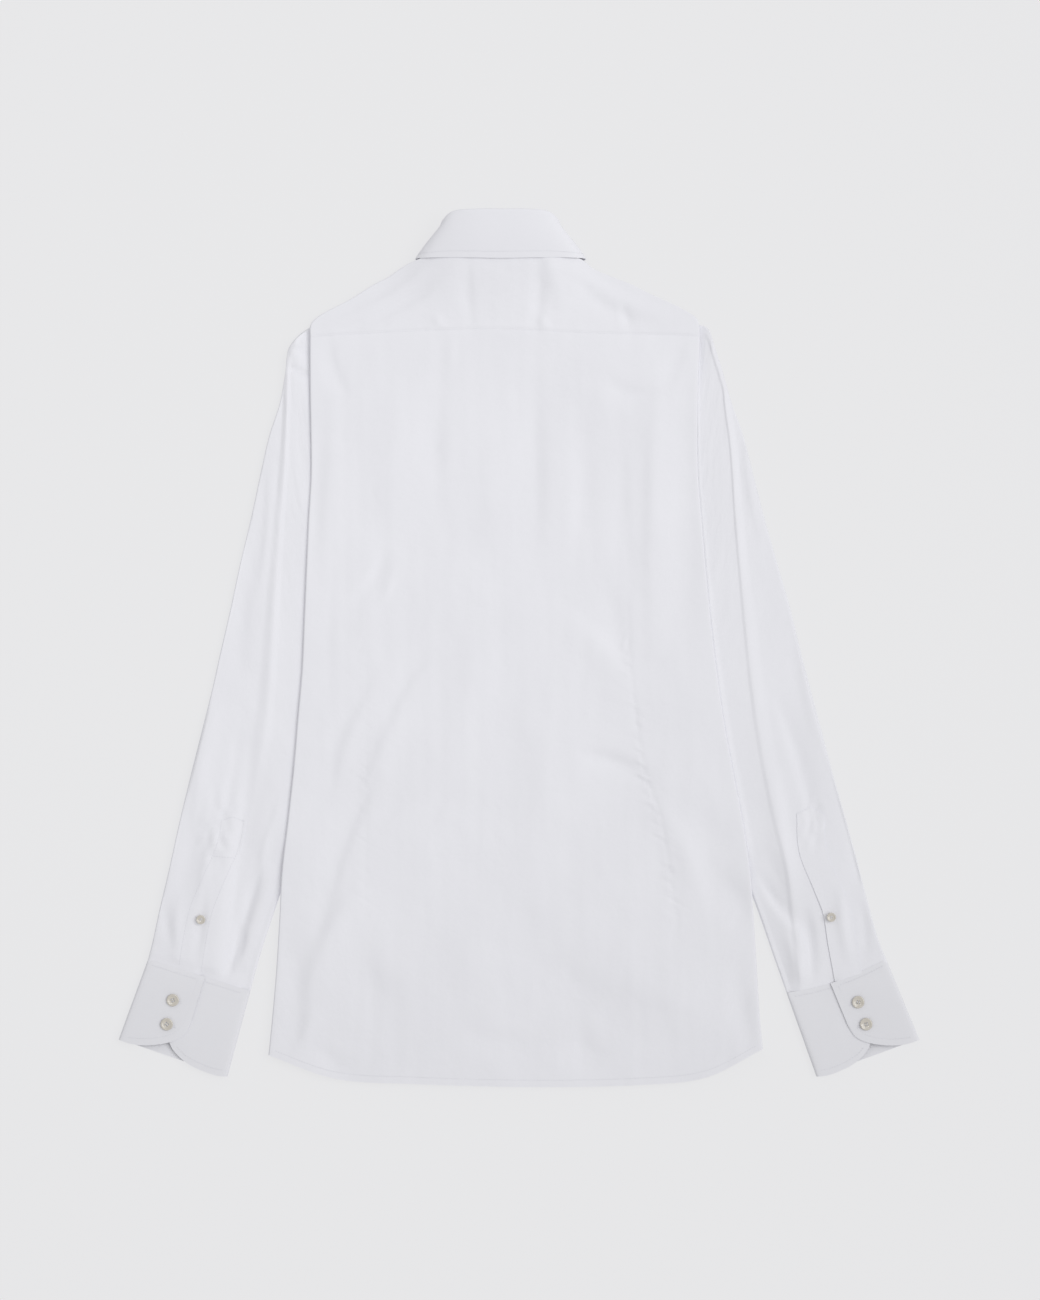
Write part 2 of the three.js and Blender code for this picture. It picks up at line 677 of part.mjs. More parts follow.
function frontEdge(y, side) {
  const head = side < 0 ? SLEEVE_LEFT[0] : SLEEVE_RIGHT[0];
  const edge = side < 0 ? bodyLeft(y) : bodyRight(y);
  const inward = -side;
  if (y > 290) {
    const t = (y - 290) / (FRONT_TOP_Y - 290);
    return lerp(head.ox + inward * 8, COLLAR_X + side * 69, t);
  }
  if (y > ARMPIT_Y) {
    const t = (head.oy - y) / (head.oy - head.iy);
    return lerp(head.ox, head.ix, t) + inward * lerp(8, 1.5, ease(290, 250, y));
  }
  return edge + inward * (stripWidth(y, side) + SEAM_GAP + 0.5);
}

function front(side) {
  const name = side < 0 ? 'front_left' : 'front_right';
  const lapRise = side < 0 ? NECK_RISE : NECK_RISE + LAP_STEP;
  const grid = FRONT_LEVELS.map((y) => {
    const from = frontEdge(y, side);
    const open = y > FRONT_NECK_Y;
    const to = open ? COLLAR_X + side * (neckX(y) + 1) : middle(y) - side * LAP;
    return [0, 0.1, 0.22, 0.4, 0.56, 0.7, 0.82, 0.91, 1].map((t) => {
      const x = lerp(from, to, t);
      const lapped = lapRise * (1 - ease(32, 56, Math.abs(x - middle(y))));
      const sleeved = overSleeve(x, y) * ease(58, 48, y);
      const besideNeck = ease(291, 300, y) * ease(26, 4, Math.abs(x - to));
      const nearNeck = besideNeck * (neckZ(y) - COLLAR_CLOTH / 2);
      const drop = (hemY(x) + 386.5) * ease(-290, -384, y);
      return new THREE.Vector3(x, y + drop, Math.max(lapped, overLeaf(x, y), sleeved, nearNeck));
    });
  });
  return body(wall(name, side > 0 ? grid.reverse() : grid, CLOTH, false), WHITE, 0.85);
}

// Cuffs and sleeve plackets

function cuffPoint(cuff, across, reach) {
  const bow = cuff.bow * Math.sin(Math.PI * across);
  const seamX = lerp(cuff.seam[0][0], cuff.seam[1][0], across);
  const seamAt = lerp(cuff.seam[0][1], cuff.seam[1][1], across) + bow;
  const edgeX = lerp(cuff.edge[0][0], cuff.edge[1][0], across);
  const edgeAt = lerp(cuff.edge[0][1], cuff.edge[1][1], across);
  return [lerp(seamX, edgeX, reach), lerp(seamAt, edgeAt, reach)];
}

function cuff(name, shape, mirrored) {
  const grid = [0, 0.25, 0.5, 0.75, 1].map((v) => CUFF_ENDS.map((row) => {
    const [x, y] = cuffPoint(shape, row.across, 0.004 + (row.reach - 0.004) * v);
    return new THREE.Vector3(x, y, row.z);
  }));
  if (!mirrored) for (const row of grid) row.reverse();
  return body(wall(name, grid.reverse(), COLLAR_CLOTH, false), WHITE, 0.8);
}

// The strip's tip is a shallow point; its other end follows the cuff seam.
function gauntlet(name, line, side) {
  const grid = line.map(([x, y], j) => [0, 0.25, 0.5, 0.75, 1].map((t) => {
    const tip = j === 0 ? -12 * Math.abs(t - 0.5) : 0;
    const slope = (8 * t * j) / (line.length - 1);
    return new THREE.Vector3(x + side * GAUNTLET_WIDTH * t, y + tip + slope, SLEEVE_HIGH + SEAM_GAP + CLOTH);
  }));
  if (side > 0) for (const row of grid) row.reverse();
  return body(wall(name, grid, CLOTH, false), WHITE, 0.85);
}

// Buttons: discs with four holes

function circle(x, y, radius, sides) {
  const points = [];
  for (let i = 0; i < sides; i += 1) {
    const angle = (i * Math.PI * 2) / sides;
    points.push(new THREE.Vector2(x + radius * Math.cos(angle), y + radius * Math.sin(angle)));
  }
  return points;
}

function button(name, x, y, z, size, thickness, sides) {
  const shape = new THREE.Shape(circle(0, 0, size / 2, sides));
  const spread = size * 0.13;
  for (let i = 0; i < 4; i += 1) {
    const angle = Math.PI / 4 + (i * Math.PI) / 2;
    const hole = circle(spread * Math.cos(angle), spread * Math.sin(angle), size * 0.065, 6);
    shape.holes.push(new THREE.Path(hole));
  }
  const geometry = new THREE.ExtrudeGeometry(shape, { depth: thickness, bevelEnabled: false });
  geometry.translate(x, y, z);
  return mesh(name, geometry, 0xe4ddd0, 0.3);
}

const shirt = new THREE.Group();
shirt.name = 'long_sleeve_dress_shirt';
shirt.add(back(), yoke(), front(-1), front(1));
shirt.add(sleeve('sleeve_left', SLEEVE_LEFT, foldLeft, 0, false));
shirt.add(sleeve('sleeve_right', SLEEVE_RIGHT, foldRight, CUFFS.right.bow, true));
shirt.add(cuff('cuff_left', CUFFS.left, false), cuff('cuff_right', CUFFS.right, true));
shirt.add(gauntlet('gauntlet_left', GAUNTLETS.left, -1));
shirt.add(gauntlet('gauntlet_right', GAUNTLETS.right, 1));
shirt.add(collarStand(), collarFall());
for (const { name, x, y, z, size } of VISIBLE_BUTTONS) {
  shirt.add(button(name, x, y, z, size, 2.2, 20));
}
for (let i = 0; i < 6; i += 1) {
  const y = 212 - i * 96;
  shirt.add(button(`front_button_${i + 1}`, middle(y), y, 0, BUTTON, 2, 14));
}
shirt.add(button('collar_button', COLLAR_X, 303.5, 2, 10, 2, 14));

export default shirt;
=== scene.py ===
# %% [markdown]
# # A long sleeve dress shirt, laid face down
# The shirt is buttoned up and lies on its front. From above one sees the back, the
# yoke, the turned down collar and both sleeves with their buttoned cuffs. The packed
# model gives the place and size of every piece, so nothing has to be fitted. Each
# piece is cut again here in finer cloth, with its creases, seams and stitches.

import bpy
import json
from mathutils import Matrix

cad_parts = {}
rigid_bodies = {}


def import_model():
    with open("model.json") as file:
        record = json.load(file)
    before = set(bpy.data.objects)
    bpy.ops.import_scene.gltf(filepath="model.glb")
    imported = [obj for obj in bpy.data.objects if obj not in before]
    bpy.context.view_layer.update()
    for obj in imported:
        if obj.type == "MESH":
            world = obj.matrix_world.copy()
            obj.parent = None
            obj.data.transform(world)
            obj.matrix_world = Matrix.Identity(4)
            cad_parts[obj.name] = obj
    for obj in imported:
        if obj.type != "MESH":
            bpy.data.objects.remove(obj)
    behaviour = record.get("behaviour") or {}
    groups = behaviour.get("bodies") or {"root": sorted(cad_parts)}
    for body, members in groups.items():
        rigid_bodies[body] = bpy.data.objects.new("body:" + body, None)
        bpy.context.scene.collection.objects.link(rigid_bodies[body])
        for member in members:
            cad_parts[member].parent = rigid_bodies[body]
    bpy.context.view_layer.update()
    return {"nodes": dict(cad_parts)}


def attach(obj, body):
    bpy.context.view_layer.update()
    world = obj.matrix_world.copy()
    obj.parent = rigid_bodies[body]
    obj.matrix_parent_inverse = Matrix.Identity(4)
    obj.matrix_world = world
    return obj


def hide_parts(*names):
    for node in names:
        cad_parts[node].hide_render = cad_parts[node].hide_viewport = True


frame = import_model()
print("nodes in the frame:", len(frame["nodes"]))

# %% Blender's own modules
import json
import math
from bisect import bisect_right

import bmesh
import bpy
from mathutils import Matrix, Vector, noise
from mathutils.bvhtree import BVHTree

# %% [markdown]
# ## Measures
# A shirt maker thinks in millimetres, so the tables do too, and one number turns them
# into Blender's metres. The cloth is drawn thinner than the frame's solids, because
# its outer skin is what shows, and a thin edge is what tells cloth from board.

# %% Main measures in millimetres
MM = 0.001
CLOTH = 0.7
INTERLINED = 1.1
SLEEVE_LOW = 4.4
SLEEVE_HIGH = 9.0
SLEEVE_SIDE = 1.5
SLEEVE_LEDGE = 1.9
TUCK_HEIGHTS = (7.9, 6.2, 4.8)
BODY_OVER_SLEEVE = 4.9
BODY_TOP = 9.4
NECK_RISE = 2.3
NECK_STRIP_RISE = 3.2
LAP_STEP = 1.35
FOLD_REACH = 1.4
COLLAR_X = -17
NECK_Y = 369
FRONT_NECK_Y = 288
FRONT_TOP_Y = 342
ARMPIT_Y = 55
LAP = 17
BUTTON = 11.5
SMALL_BUTTON = 8.5

# %% Outline tables in millimetres
BODY_EDGE = [
    (369, -79, 45), (365, -86, 51.5), (361, -97.5, 60.5), (354, -110.5, 69),
    (346, -122, 88), (339, -136, 106), (331, -148.5, 121.5), (324, -160, 137.5),
    (316, -176, 153.5), (309, -188, 164.5), (302, -194, 167.5), (291, -194.5, 168.3),
    (237, -194.4, 166.5), (167, -193.5, 166.5), (120, -196, 170), (74, -198, 174),
    (27, -200, 178.5), (-19, -202, 184), (-65, -206, 190.5), (-112, -210, 199),
    (-158, -215, 208), (-205, -220.5, 215), (-251, -223, 218.5), (-298, -226, 221.5),
    (-345, -230, 224.5), (-380, -233.5, 228),
]
STRIP = [
    (330, 38), (318, 34), (300, 14), (285, 7), (150, 7), (115, 20), (75, 50), (50, 66),
    (20, 65), (-65, 52), (-158, 44), (-251, 35), (-380, 29),
]
SEAM_LINE = [(-200, 290.5), (-100, 296), (-17, 298), (60, 294.5), (175, 291.5)]
HEM_LINE = [
    (-233.5, -377), (-172, -399), (-100, -404), (16, -407), (112, -405), (174, -398),
    (228, -371),
]
DART_LEFT = [(300, -141), (14, -142), (-256, -143), (-410, -146)]
DART_RIGHT = [(300, 96), (-3, 103), (-114, 117), (-154, 131), (-251, 146), (-410, 158)]
DART_DEPTH = [(60, 0), (0, 0.9), (-120, 1.4), (-230, 0.9), (-275, 0)]

# %% Sleeve tables: outer end x, y and inner end x, y of each ring
SLEEVE_LEFT = [
    (-194, 301, -134, 55), (-206, 292, -135, 48), (-215, 279, -137, 40),
    (-218, 256, -139, 30), (-223, 229, -142, 18), (-233, 198, -145, 6),
    (-241, 163, -149, -8), (-250, 121, -154, -25), (-260, 79, -159, -42),
    (-269, 37, -165, -62), (-278, -2, -172, -83), (-287, -42, -179, -106),
    (-297, -82, -187, -130), (-307, -122, -196, -156), (-317, -164, -207, -186),
    (-326, -205, -219, -218), (-335, -243, -231, -253), (-341, -271, -241, -284),
    (-345, -287, -250, -317),
]
SLEEVE_RIGHT = [
    (168, 303, 116, 55), (177, 298, 117, 48), (183, 280, 119, 40),
    (190, 258, 122, 30), (198, 230, 126, 18), (209, 199, 130, 6),
    (219, 160, 135, -8), (229, 121, 140, -25), (241, 79, 146, -42),
    (253, 37, 153, -62), (262.5, -2, 161, -83), (273, -42, 169, -106),
    (283.5, -82, 178, -130), (294, -122, 188, -156), (306, -164, 200, -186),
    (317, -205, 213, -218), (327, -243, 226, -253), (335, -271, 237, -285),
    (341.5, -287, 249, -319),
]
FOLD_LEFT = [
    (300, -214), (190, -217), (120, -222), (50, -227), (-19, -231), (-65, -235),
    (-112, -243), (-158, -251), (-205, -264), (-251, -272), (-305, -278),
]
FOLD_RIGHT = [
    (300, 189), (237, 191), (190, 197), (120, 202), (50, 208.5), (-19, 215.5),
    (-65, 221.5), (-112, 229.5), (-158, 239), (-205, 250.5), (-251, 256), (-305, 262),
]

# %% [markdown]
# ## Curves
# A pattern cutter bends a ruler through a few marks. The same is done here: a smooth
# curve runs through the marks of a table and stays level past its ends. A second
# helper runs through points in space, for the collar.

# %% Curve helpers
def lerp(a, b, t):
    return a + (b - a) * t


def clamp(value, low, high):
    return min(high, max(low, value))


def ease(start, stop, value):
    t = clamp((value - start) / (stop - start), 0, 1)
    return t * t * (3 - 2 * t)


def curve(marks):
    """A smooth curve through (key, value) marks, level past its ends."""
    marks = sorted(marks)
    keys = [key for key, _ in marks]
    values = [value for _, value in marks]
    last = len(marks) - 1
    slopes = []
    for i in range(last + 1):
        before = max(i - 1, 0)
        after = min(i + 1, last)
        slopes.append((values[after] - values[before]) / (keys[after] - keys[before]))

    def at(key):
        if key <= keys[0]:
            return values[0]
        if key >= keys[last]:
            return values[last]
        i = bisect_right(keys, key) - 1
        step = keys[i + 1] - keys[i]
        t = (key - keys[i]) / step
        straight = lerp(values[i], values[i + 1], t * t * (3 - 2 * t))
        lean = slopes[i] * t * (1 - t) ** 2 - slopes[i + 1] * t * t * (1 - t)
        return straight + step * lean

    return at


def spline(points, t):
    """The point at t, from 0 to 1, on a smooth line through evenly numbered points."""
    place = clamp(t, 0, 1) * (len(points) - 1)
    i = min(int(place), len(points) - 2)
    w = place - i
    b = points[i]
    c = points[i + 1]
    a = points[i - 1] if i > 0 else b * 2 - c
    d = points[i + 2] if i + 2 < len(points) else c * 2 - b
    cubic = (b * 3 - c * 3 + d - a) * w ** 3
    square = (a * 2 - b * 5 + c * 4 - d) * w ** 2
    return b + ((c - a) * w + square + cubic) / 2


# %% Curves of the shirt's outline
body_left = curve([(y, left) for y, left, _ in BODY_EDGE])
body_right = curve([(y, right) for y, _, right in BODY_EDGE])
sewn_strip = curve(STRIP)
seam_y = curve(SEAM_LINE)
hem_y = curve(HEM_LINE)
dart_left = curve(DART_LEFT)
dart_right = curve(DART_RIGHT)
dart_depth = curve(DART_DEPTH)
inner_left = curve([(iy, ix) for _, _, ix, iy in SLEEVE_LEFT])
inner_right = curve([(iy, ix) for _, _, ix, iy in SLEEVE_RIGHT])
fold_left = curve(FOLD_LEFT)
fold_right = curve(FOLD_RIGHT)


def middle(y):
    """The line of the front buttons, which leans a little."""
    return lerp(COLLAR_X, -4, ease(280, -380, y))


print("body width at the chest:", body_right(100) - body_left(100), "mm")

# %% [markdown]
# ## Creases
# Laid cloth is never flat. Each crease is a soft trough or ridge along a slightly
# bowed line, placed where the real shirt has one, and no two are alike in
# length, width or depth. A row holds both ends, the bow sideways, the width, the
# height (below 0 is a trough) and the lean, which makes one flank steeper.

# %% Crease tables in millimetres
BODY_CREASES = [
    (-73, 262, -76, 130, 3, 12, -1.8, -0.2), (10, 240, 12, 90, -3, 12, -1.8, -0.2),
    (62, 245, 66, 90, 4, 11, -1.4, -0.1), (128, 250, 126, 0, 3, 11, 2.0, 0.3),
    (152, 260, 156, -10, -3, 13, -1.6, -0.2), (-160, 130, -158, 10, 2, 11, -1.2, 0),
    (-88, -8, -124, -66, 3, 9, -1.4, -0.4), (-136, -120, -184, -262, 6, 10, -2.0, -0.4),
    (-138, -26, -178, -134, 5, 10, -1.5, -0.4), (-66, -134, -84, -164, 2, 8, -0.8, -0.3),
    (-102, -140, -130, -166, 3, 8, -0.8, -0.4), (-152, -226, -196, -330, 7, 12, 2.6, 0.3),
    (-108, -60, -140, -130, 3, 10, 1.9, 0.3), (-150, -60, -166, -110, 3, 8, 1.4, 0.3),
    (42, 30, 100, -30, -5, 12, 2.0, -0.3), (62, -98, 118, -118, -3, 9, -2.7, -0.2),
    (80, 60, 96, -20, -3, 10, -1.4, 0), (132, -150, 168, -236, -6, 12, 2.2, -0.2),
    (180, -205, 214, -262, -4, 17, -3.5, -0.2), (160, -150, 190, -190, -3, 16, -2.2, 0),
    (-148, -280, -124, -330, 4, 18, -2.4, -0.2), (38, -296, 76, -330, 6, 22, -3.2, -0.2),
    (50, -350, 80, -384, 5, 16, -3.0, -0.2), (-60, -352, 24, -368, 6, 14, -1.9, -0.2),
    (96, -304, 168, -330, 6, 22, 2.4, 0), (-44, -250, -36, -320, 4, 22, 1.9, 0),
    (-212, -270, -208, -370, -3, 9, -1.2, -0.3), (-192, -330, -206, -372, -3, 8, 1.6, 0.3),
    (-186, -372, -160, -388, 3, 9, -2.2, -0.1), (206, -300, 214, -368, 2, 10, -2.0, -0.2),
    (-150, 50, -126, 86, 3, 6, -1.8, -0.3), (-130, 44, -118, 66, 2, 5, 1.4, 0.3),
    (-172, 94, -178, -60, 3, 9, -1.0, -0.2), (-176, 240, -178, 110, -3, 9, 1.0, 0.2),
    (-46, 366, -44, 300, 2, 6, -1.4, -0.3), (19, 366, 16, 300, -2, 6, -1.6, -0.3),
    (-14, 360, -14, 304, 1, 24, 0.9, 0), (30, 366, 40, 322, 2, 7, 1.2, 0),
    (-176, 286, -160, 236, 4, 8, -1.6, -0.3), (150, 292, 130, 240, -5, 9, -1.4, -0.3),
    (80, 250, 132, 238, 6, 9, -2.2, -0.2), (-60, 290, -64, 262, 1, 5, 0.8, 0),
    (-78, 310, -70, 299, 1, 4, 1.2, 0), (20, 310, 26, 298, 1, 4, 1.2, 0),
    (96, 322, 104, 300, 1, 5, -1.4, 0), (-84, 356, -176, 302, -7, 7, 1.5, 0.2),
    (-78, 344, -166, 298, -6, 6, -0.9, -0.2), (-70, 336, -140, 302, -5, 7, 1.1, 0.2),
    (54, 352, 140, 312, 7, 7, 1.1, -0.2), (58, 338, 120, 304, 6, 7, -1.1, -0.2),
    (-150, 292, 130, 290, 4, 42, 3.0, 0), (-20, 190, -24, 60, 4, 18, 1.2, 0),
    (38, 220, 36, 70, -3, 13, 1.0, 0), (-110, 240, -116, 90, 5, 14, 1.2, 0.2),
    (-40, 40, -60, -100, -6, 20, 1.6, 0), (10, -60, 24, -200, -6, 20, 1.5, 0),
    (-186, 200, -188, 60, 2, 7, -0.8, 0), (96, 180, 104, 60, 3, 9, -1.0, -0.2),
]
SLEEVE_CREASES = [
    (-247, -96, -274, -312, 0, 12, -4.4, 0.35), (237, -120, 261, -296, 0, 9, 2.2, -0.3),
    (226, -214, 264, -262, 3, 6, -3.6, 0.4), (-262, -288, -256, -262, 1, 4, -2.0, 0.2),
    (266, -296, 256, -250, 2, 3, 1.6, 0.2),
    (-229, -160, -255, -250, -3, 6, -2.1, 0.3), (-224, -148, -240, -215, 3, 5, 1.8, 0.3),
    (-236, -190, -262, -290, -4, 6, 1.8, 0.3), (-246, -200, -272, -300, -4, 7, -2.2, 0.3),
    (242, -50, 276, -175, -4, 8, -2.4, 0.3), (-246, 100, -262, -20, 3, 9, -1.7, 0),
    (-300, -150, -318, -240, -3, 10, -1.7, 0), (-232, 170, -240, 60, -3, 6, 1.4, 0.2),
    (-286, -60, -300, -160, 4, 7, 1.5, 0.2), (-262, -80, -286, -190, -4, 6, -1.5, 0.3),
    (-300, -286, -294, -214, 2, 5, -1.7, 0.2), (-318, -290, -316, -232, -2, 5, 1.7, 0),
    (-272, -306, -262, -250, 2, 5, -2.1, 0.2), (212, 200, 224, 110, 3, 6, 1.4, 0.2),
    (262, 20, 282, -90, 4, 7, 1.5, 0.2), (296, -110, 318, -210, -4, 8, -1.8, 0.2),
    (306, -284, 300, -226, -2, 5, 1.7, 0), (272, -308, 268, -246, 2, 5, -2.4, 0.2),
    (322, -284, 318, -240, 2, 4, -1.5, 0), (258, -312, 250, -268, 2, 5, 1.5, 0),
    (-204, 296, -206, 268, 2, 5, 2.4, 0), (-214, 262, -197, 257, 1, 3, -2.4, 0.2),
    (-214, 280, -198, 276, -1, 3, -1.2, 0.2), (236, -200, 262, -280, -4, 9, -3.0, 0.2),
    (-330, -236, -322, -276, 2, 5, -1.5, 0.2), (-290, -190, -296, -246, 2, 5, 1.4, 0.1),
]


def with_reach(creases):
    """Adds the middle and the reach of each crease, so that far points skip it."""
    rows = []
    for x0, y0, x1, y1, bow, width, height, lean in creases:
        far = math.hypot(x1 - x0, y1 - y0) / 2 + abs(bow) + 3.2 * width
        centre = ((x0 + x1) / 2, (y0 + y1) / 2)
        rows.append((x0, y0, x1, y1, bow, width, height, lean, *centre, far))
    return rows


def relief(creases, x, y):
    """Height that the creases add at one point."""
    total = 0.0
    for x0, y0, x1, y1, bow, width, height, lean, mx, my, far in creases:
        if abs(x - mx) > far or abs(y - my) > far:
            continue
        dx = x1 - x0
        dy = y1 - y0
        length = math.hypot(dx, dy)
        along = ((x - x0) * dx + (y - y0) * dy) / (length * length)
        t = clamp(along, 0, 1)
        side = ((x - x0) * dy - (y - y0) * dx) / length - bow * 4 * t * (1 - t)
        past = (along - t) * length
        flank = width * (1 + lean if side < 0 else 1 - lean)
        near = math.exp(-((side / flank) ** 2) - (past / width) ** 2)
        total += height * math.sin(math.pi * clamp(0.1 + 0.8 * t, 0, 1)) * near
    return total


body_creases = with_reach(BODY_CREASES)
sleeve_creases = with_reach(SLEEVE_CREASES)
print("creases by hand:", len(body_creases) + len(sleeve_creases))

# %% [markdown]
# ## Weave and slubs of the cloth
# Shirt cloth is a plain weave: each thread goes over one and under the next. The
# product of two waves along the cloth's own length and width gives that chequer of
# raised threads. It is a node group, because the body and the interlined pieces share
# it with their own thread sizes. It reads the piece's UV map, which is in metres.

# %% Helper that starts a node group
def node_group(name, inputs, outputs):
    group = bpy.data.node_groups.new(name, "ShaderNodeTree")
    for label, kind in inputs:
        group.interface.new_socket(label, in_out="INPUT", socket_type=kind)
    for label, kind in outputs:
        group.interface.new_socket(label, in_out="OUTPUT", socket_type=kind)
    return group


def math_node(tree, operation, first, second=None):
    """A Math node on two values, each a socket or a number."""
    node = tree.nodes.new("ShaderNodeMath")
    node.operation = operation
    for slot, value in enumerate((first, second)):
        if isinstance(value, (int, float)):
            node.inputs[slot].default_value = value
        elif value is not None:
            tree.links.new(value, node.inputs[slot])
    return node.outputs[0]


# %% Plain weave group
weave = node_group(
    "plain_weave",
    [("Place", "NodeSocketVector"), ("Thread", "NodeSocketFloat"), ("Slub", "NodeSocketFloat")],
    [("Height", "NodeSocketFloat"), ("Shade", "NodeSocketFloat")],
)
weave_in = weave.nodes.new("NodeGroupInput")
weave_out = weave.nodes.new("NodeGroupOutput")
split = weave.nodes.new("ShaderNodeSeparateXYZ")
weave.links.new(weave_in.outputs["Place"], split.inputs[0])
turn = math_node(weave, "DIVIDE", math.pi, weave_in.outputs["Thread"])
warp = math_node(weave, "SINE", math_node(weave, "MULTIPLY", split.outputs["X"], turn))
weft = math_node(weave, "SINE", math_node(weave, "MULTIPLY", split.outputs["Y"], turn))
chequer = math_node(weave, "MULTIPLY", warp, weft)
raised = math_node(weave, "MULTIPLY_ADD", chequer, 0.5)
raised.node.inputs[2].default_value = 0.5
streak = weave.nodes.new("ShaderNodeMapping")
streak.inputs["Scale"].default_value = (2600, 90, 1)
weave.links.new(weave_in.outputs["Place"], streak.inputs["Vector"])
slub = weave.nodes.new("ShaderNodeTexNoise")
slub.inputs["Scale"].default_value = 1
slub.inputs["Detail"].default_value = 2
weave.links.new(streak.outputs[0], slub.inputs["Vector"])
uneven = math_node(weave, "MULTIPLY", slub.outputs["Fac"], weave_in.outputs["Slub"])
weave.links.new(math_node(weave, "ADD", raised, uneven), weave_out.inputs["Height"])
weave.links.new(uneven, weave_out.inputs["Shade"])
print("weave group nodes:", len(weave.nodes))

# %% [markdown]
# ## Finishes
# White cloth shows its form by very soft shade, so its colour stays close to one cool
# white. Two light tones that drift over a hand's width keep it from looking like
# plaster. A second, wider bump gives the small rumples between the modelled creases.
# Sheen lifts the folds that turn away. Interlined pieces are smoother and firmer.
# The cuffs' cloth is the same poplin in darker tones: painted shade for the cuffs.

# %% Cloth finish
def cloth_material(name, light, shade, thread, rumple, rough):
    material = bpy.data.materials.new(name)
    material.use_nodes = True
    tree = material.node_tree
    shader = tree.nodes["Principled BSDF"]
    uv = tree.nodes.new("ShaderNodeUVMap")
    uv.uv_map = "cloth"
    threads = tree.nodes.new("ShaderNodeGroup")
    threads.node_tree = weave
    threads.inputs["Thread"].default_value = thread * MM
    threads.inputs["Slub"].default_value = 0.5
    tree.links.new(uv.outputs[0], threads.inputs["Place"])
    drift = tree.nodes.new("ShaderNodeTexNoise")
    drift.inputs["Scale"].default_value = 9
    drift.inputs["Detail"].default_value = 3
    tree.links.new(uv.outputs[0], drift.inputs["Vector"])
    tone = tree.nodes.new("ShaderNodeMix")
    tone.data_type = "RGBA"
    tone.inputs["A"].default_value = (*light, 1)
    tone.inputs["B"].default_value = (*shade, 1)
    tree.links.new(drift.outputs["Fac"], tone.inputs["Factor"])
    tree.links.new(tone.outputs["Result"], shader.inputs["Base Color"])
    soft = tree.nodes.new("ShaderNodeTexNoise")
    soft.inputs["Scale"].default_value = 34
    soft.inputs["Detail"].default_value = 4
    soft.inputs["Roughness"].default_value = 0.45
    tree.links.new(uv.outputs[0], soft.inputs["Vector"])
    rumples = tree.nodes.new("ShaderNodeBump")
    rumples.inputs["Strength"].default_value = 1
    rumples.inputs["Distance"].default_value = rumple * MM
    tree.links.new(soft.outputs["Fac"], rumples.inputs["Height"])
    grain = tree.nodes.new("ShaderNodeBump")
    grain.inputs["Strength"].default_value = 0.35
    grain.inputs["Distance"].default_value = 0.06 * MM
    tree.links.new(threads.outputs["Height"], grain.inputs["Height"])
    tree.links.new(rumples.outputs["Normal"], grain.inputs["Normal"])
    tree.links.new(grain.outputs["Normal"], shader.inputs["Normal"])
    rough_range = tree.nodes.new("ShaderNodeMapRange")
    rough_range.inputs["To Min"].default_value = rough
    rough_range.inputs["To Max"].default_value = rough + 0.1
    tree.links.new(threads.outputs["Shade"], rough_range.inputs["Value"])
    tree.links.new(rough_range.outputs[0], shader.inputs["Roughness"])
    shader.inputs["Sheen Weight"].default_value = 0.12
    shader.inputs["Sheen Roughness"].default_value = 0.5
    shader.inputs["Specular IOR Level"].default_value = 0.25
    return material


poplin = cloth_material("poplin", (0.815, 0.815, 0.855), (0.76, 0.76, 0.80), 0.26, 1.1, 0.8)
firm_poplin = cloth_material(
    "interlined_poplin", (0.79, 0.79, 0.83), (0.77, 0.77, 0.81), 0.26, 0.35, 0.75
)
# Painted shade: the cuffs use the same poplin in darker tones, so they look dimmer than the
# body.
cuff_poplin_painted_shade = cloth_material(
    "cuff_poplin_painted_shade", (0.775, 0.775, 0.81), (0.72, 0.72, 0.755), 0.26, 0.5, 0.75
)

# %% Thread and mother of pearl finishes
def small_material(name, light, shade, scale, rough, coat):
    material = bpy.data.materials.new(name)
    material.use_nodes = True
    tree = material.node_tree
    shader = tree.nodes["Principled BSDF"]
    place = tree.nodes.new("ShaderNodeTexCoord")
    cloud = tree.nodes.new("ShaderNodeTexNoise")
    cloud.inputs["Scale"].default_value = scale
    cloud.inputs["Detail"].default_value = 3
    tree.links.new(place.outputs["Object"], cloud.inputs["Vector"])
    tone = tree.nodes.new("ShaderNodeMix")
    tone.data_type = "RGBA"
    tone.inputs["A"].default_value = (*light, 1)
    tone.inputs["B"].default_value = (*shade, 1)
    tree.links.new(cloud.outputs["Fac"], tone.inputs["Factor"])
    tree.links.new(tone.outputs["Result"], shader.inputs["Base Color"])
    bump = tree.nodes.new("ShaderNodeBump")
    bump.inputs["Strength"].default_value = 0.3
    bump.inputs["Distance"].default_value = 0.03 * MM
    tree.links.new(cloud.outputs["Fac"], bump.inputs["Height"])
    tree.links.new(bump.outputs["Normal"], shader.inputs["Normal"])
    shader.inputs["Roughness"].default_value = rough
    shader.inputs["Coat Weight"].default_value = coat
    return material


thread = small_material("sewing_thread", (0.74, 0.74, 0.78), (0.66, 0.66, 0.7), 4000, 0.6, 0)
pearl = small_material("shell", (0.66, 0.63, 0.57), (0.5, 0.46, 0.4), 260, 0.25, 0.6)

# %% [markdown]
# ## How a cloth piece is laid out
# Every piece starts as a flat grid from bmesh, like cloth on a cutting table. Each
# crossing of the grid is then put in its place by the piece's own pattern. The UV map
# is the length along the cloth itself, so the weave isn't stretched where it folds. A
# tube's first and last columns are merged, and Solidify gives the cloth its thickness
# on the inner side, so the outer skin stays where the pattern puts it. The free edges
# are marked sharp, so that the thin rim doesn't darken the cloth beside it.

# %% Cloth piece helper
def lengths_along(points, start):
    """Distance along a row of points, in metres, from the point numbered start."""
    total = [0.0]
    for a, b in zip(points, points[1:]):
        total.append(total[-1] + (b - a).length * MM)
    return [value - total[start] for value in total]


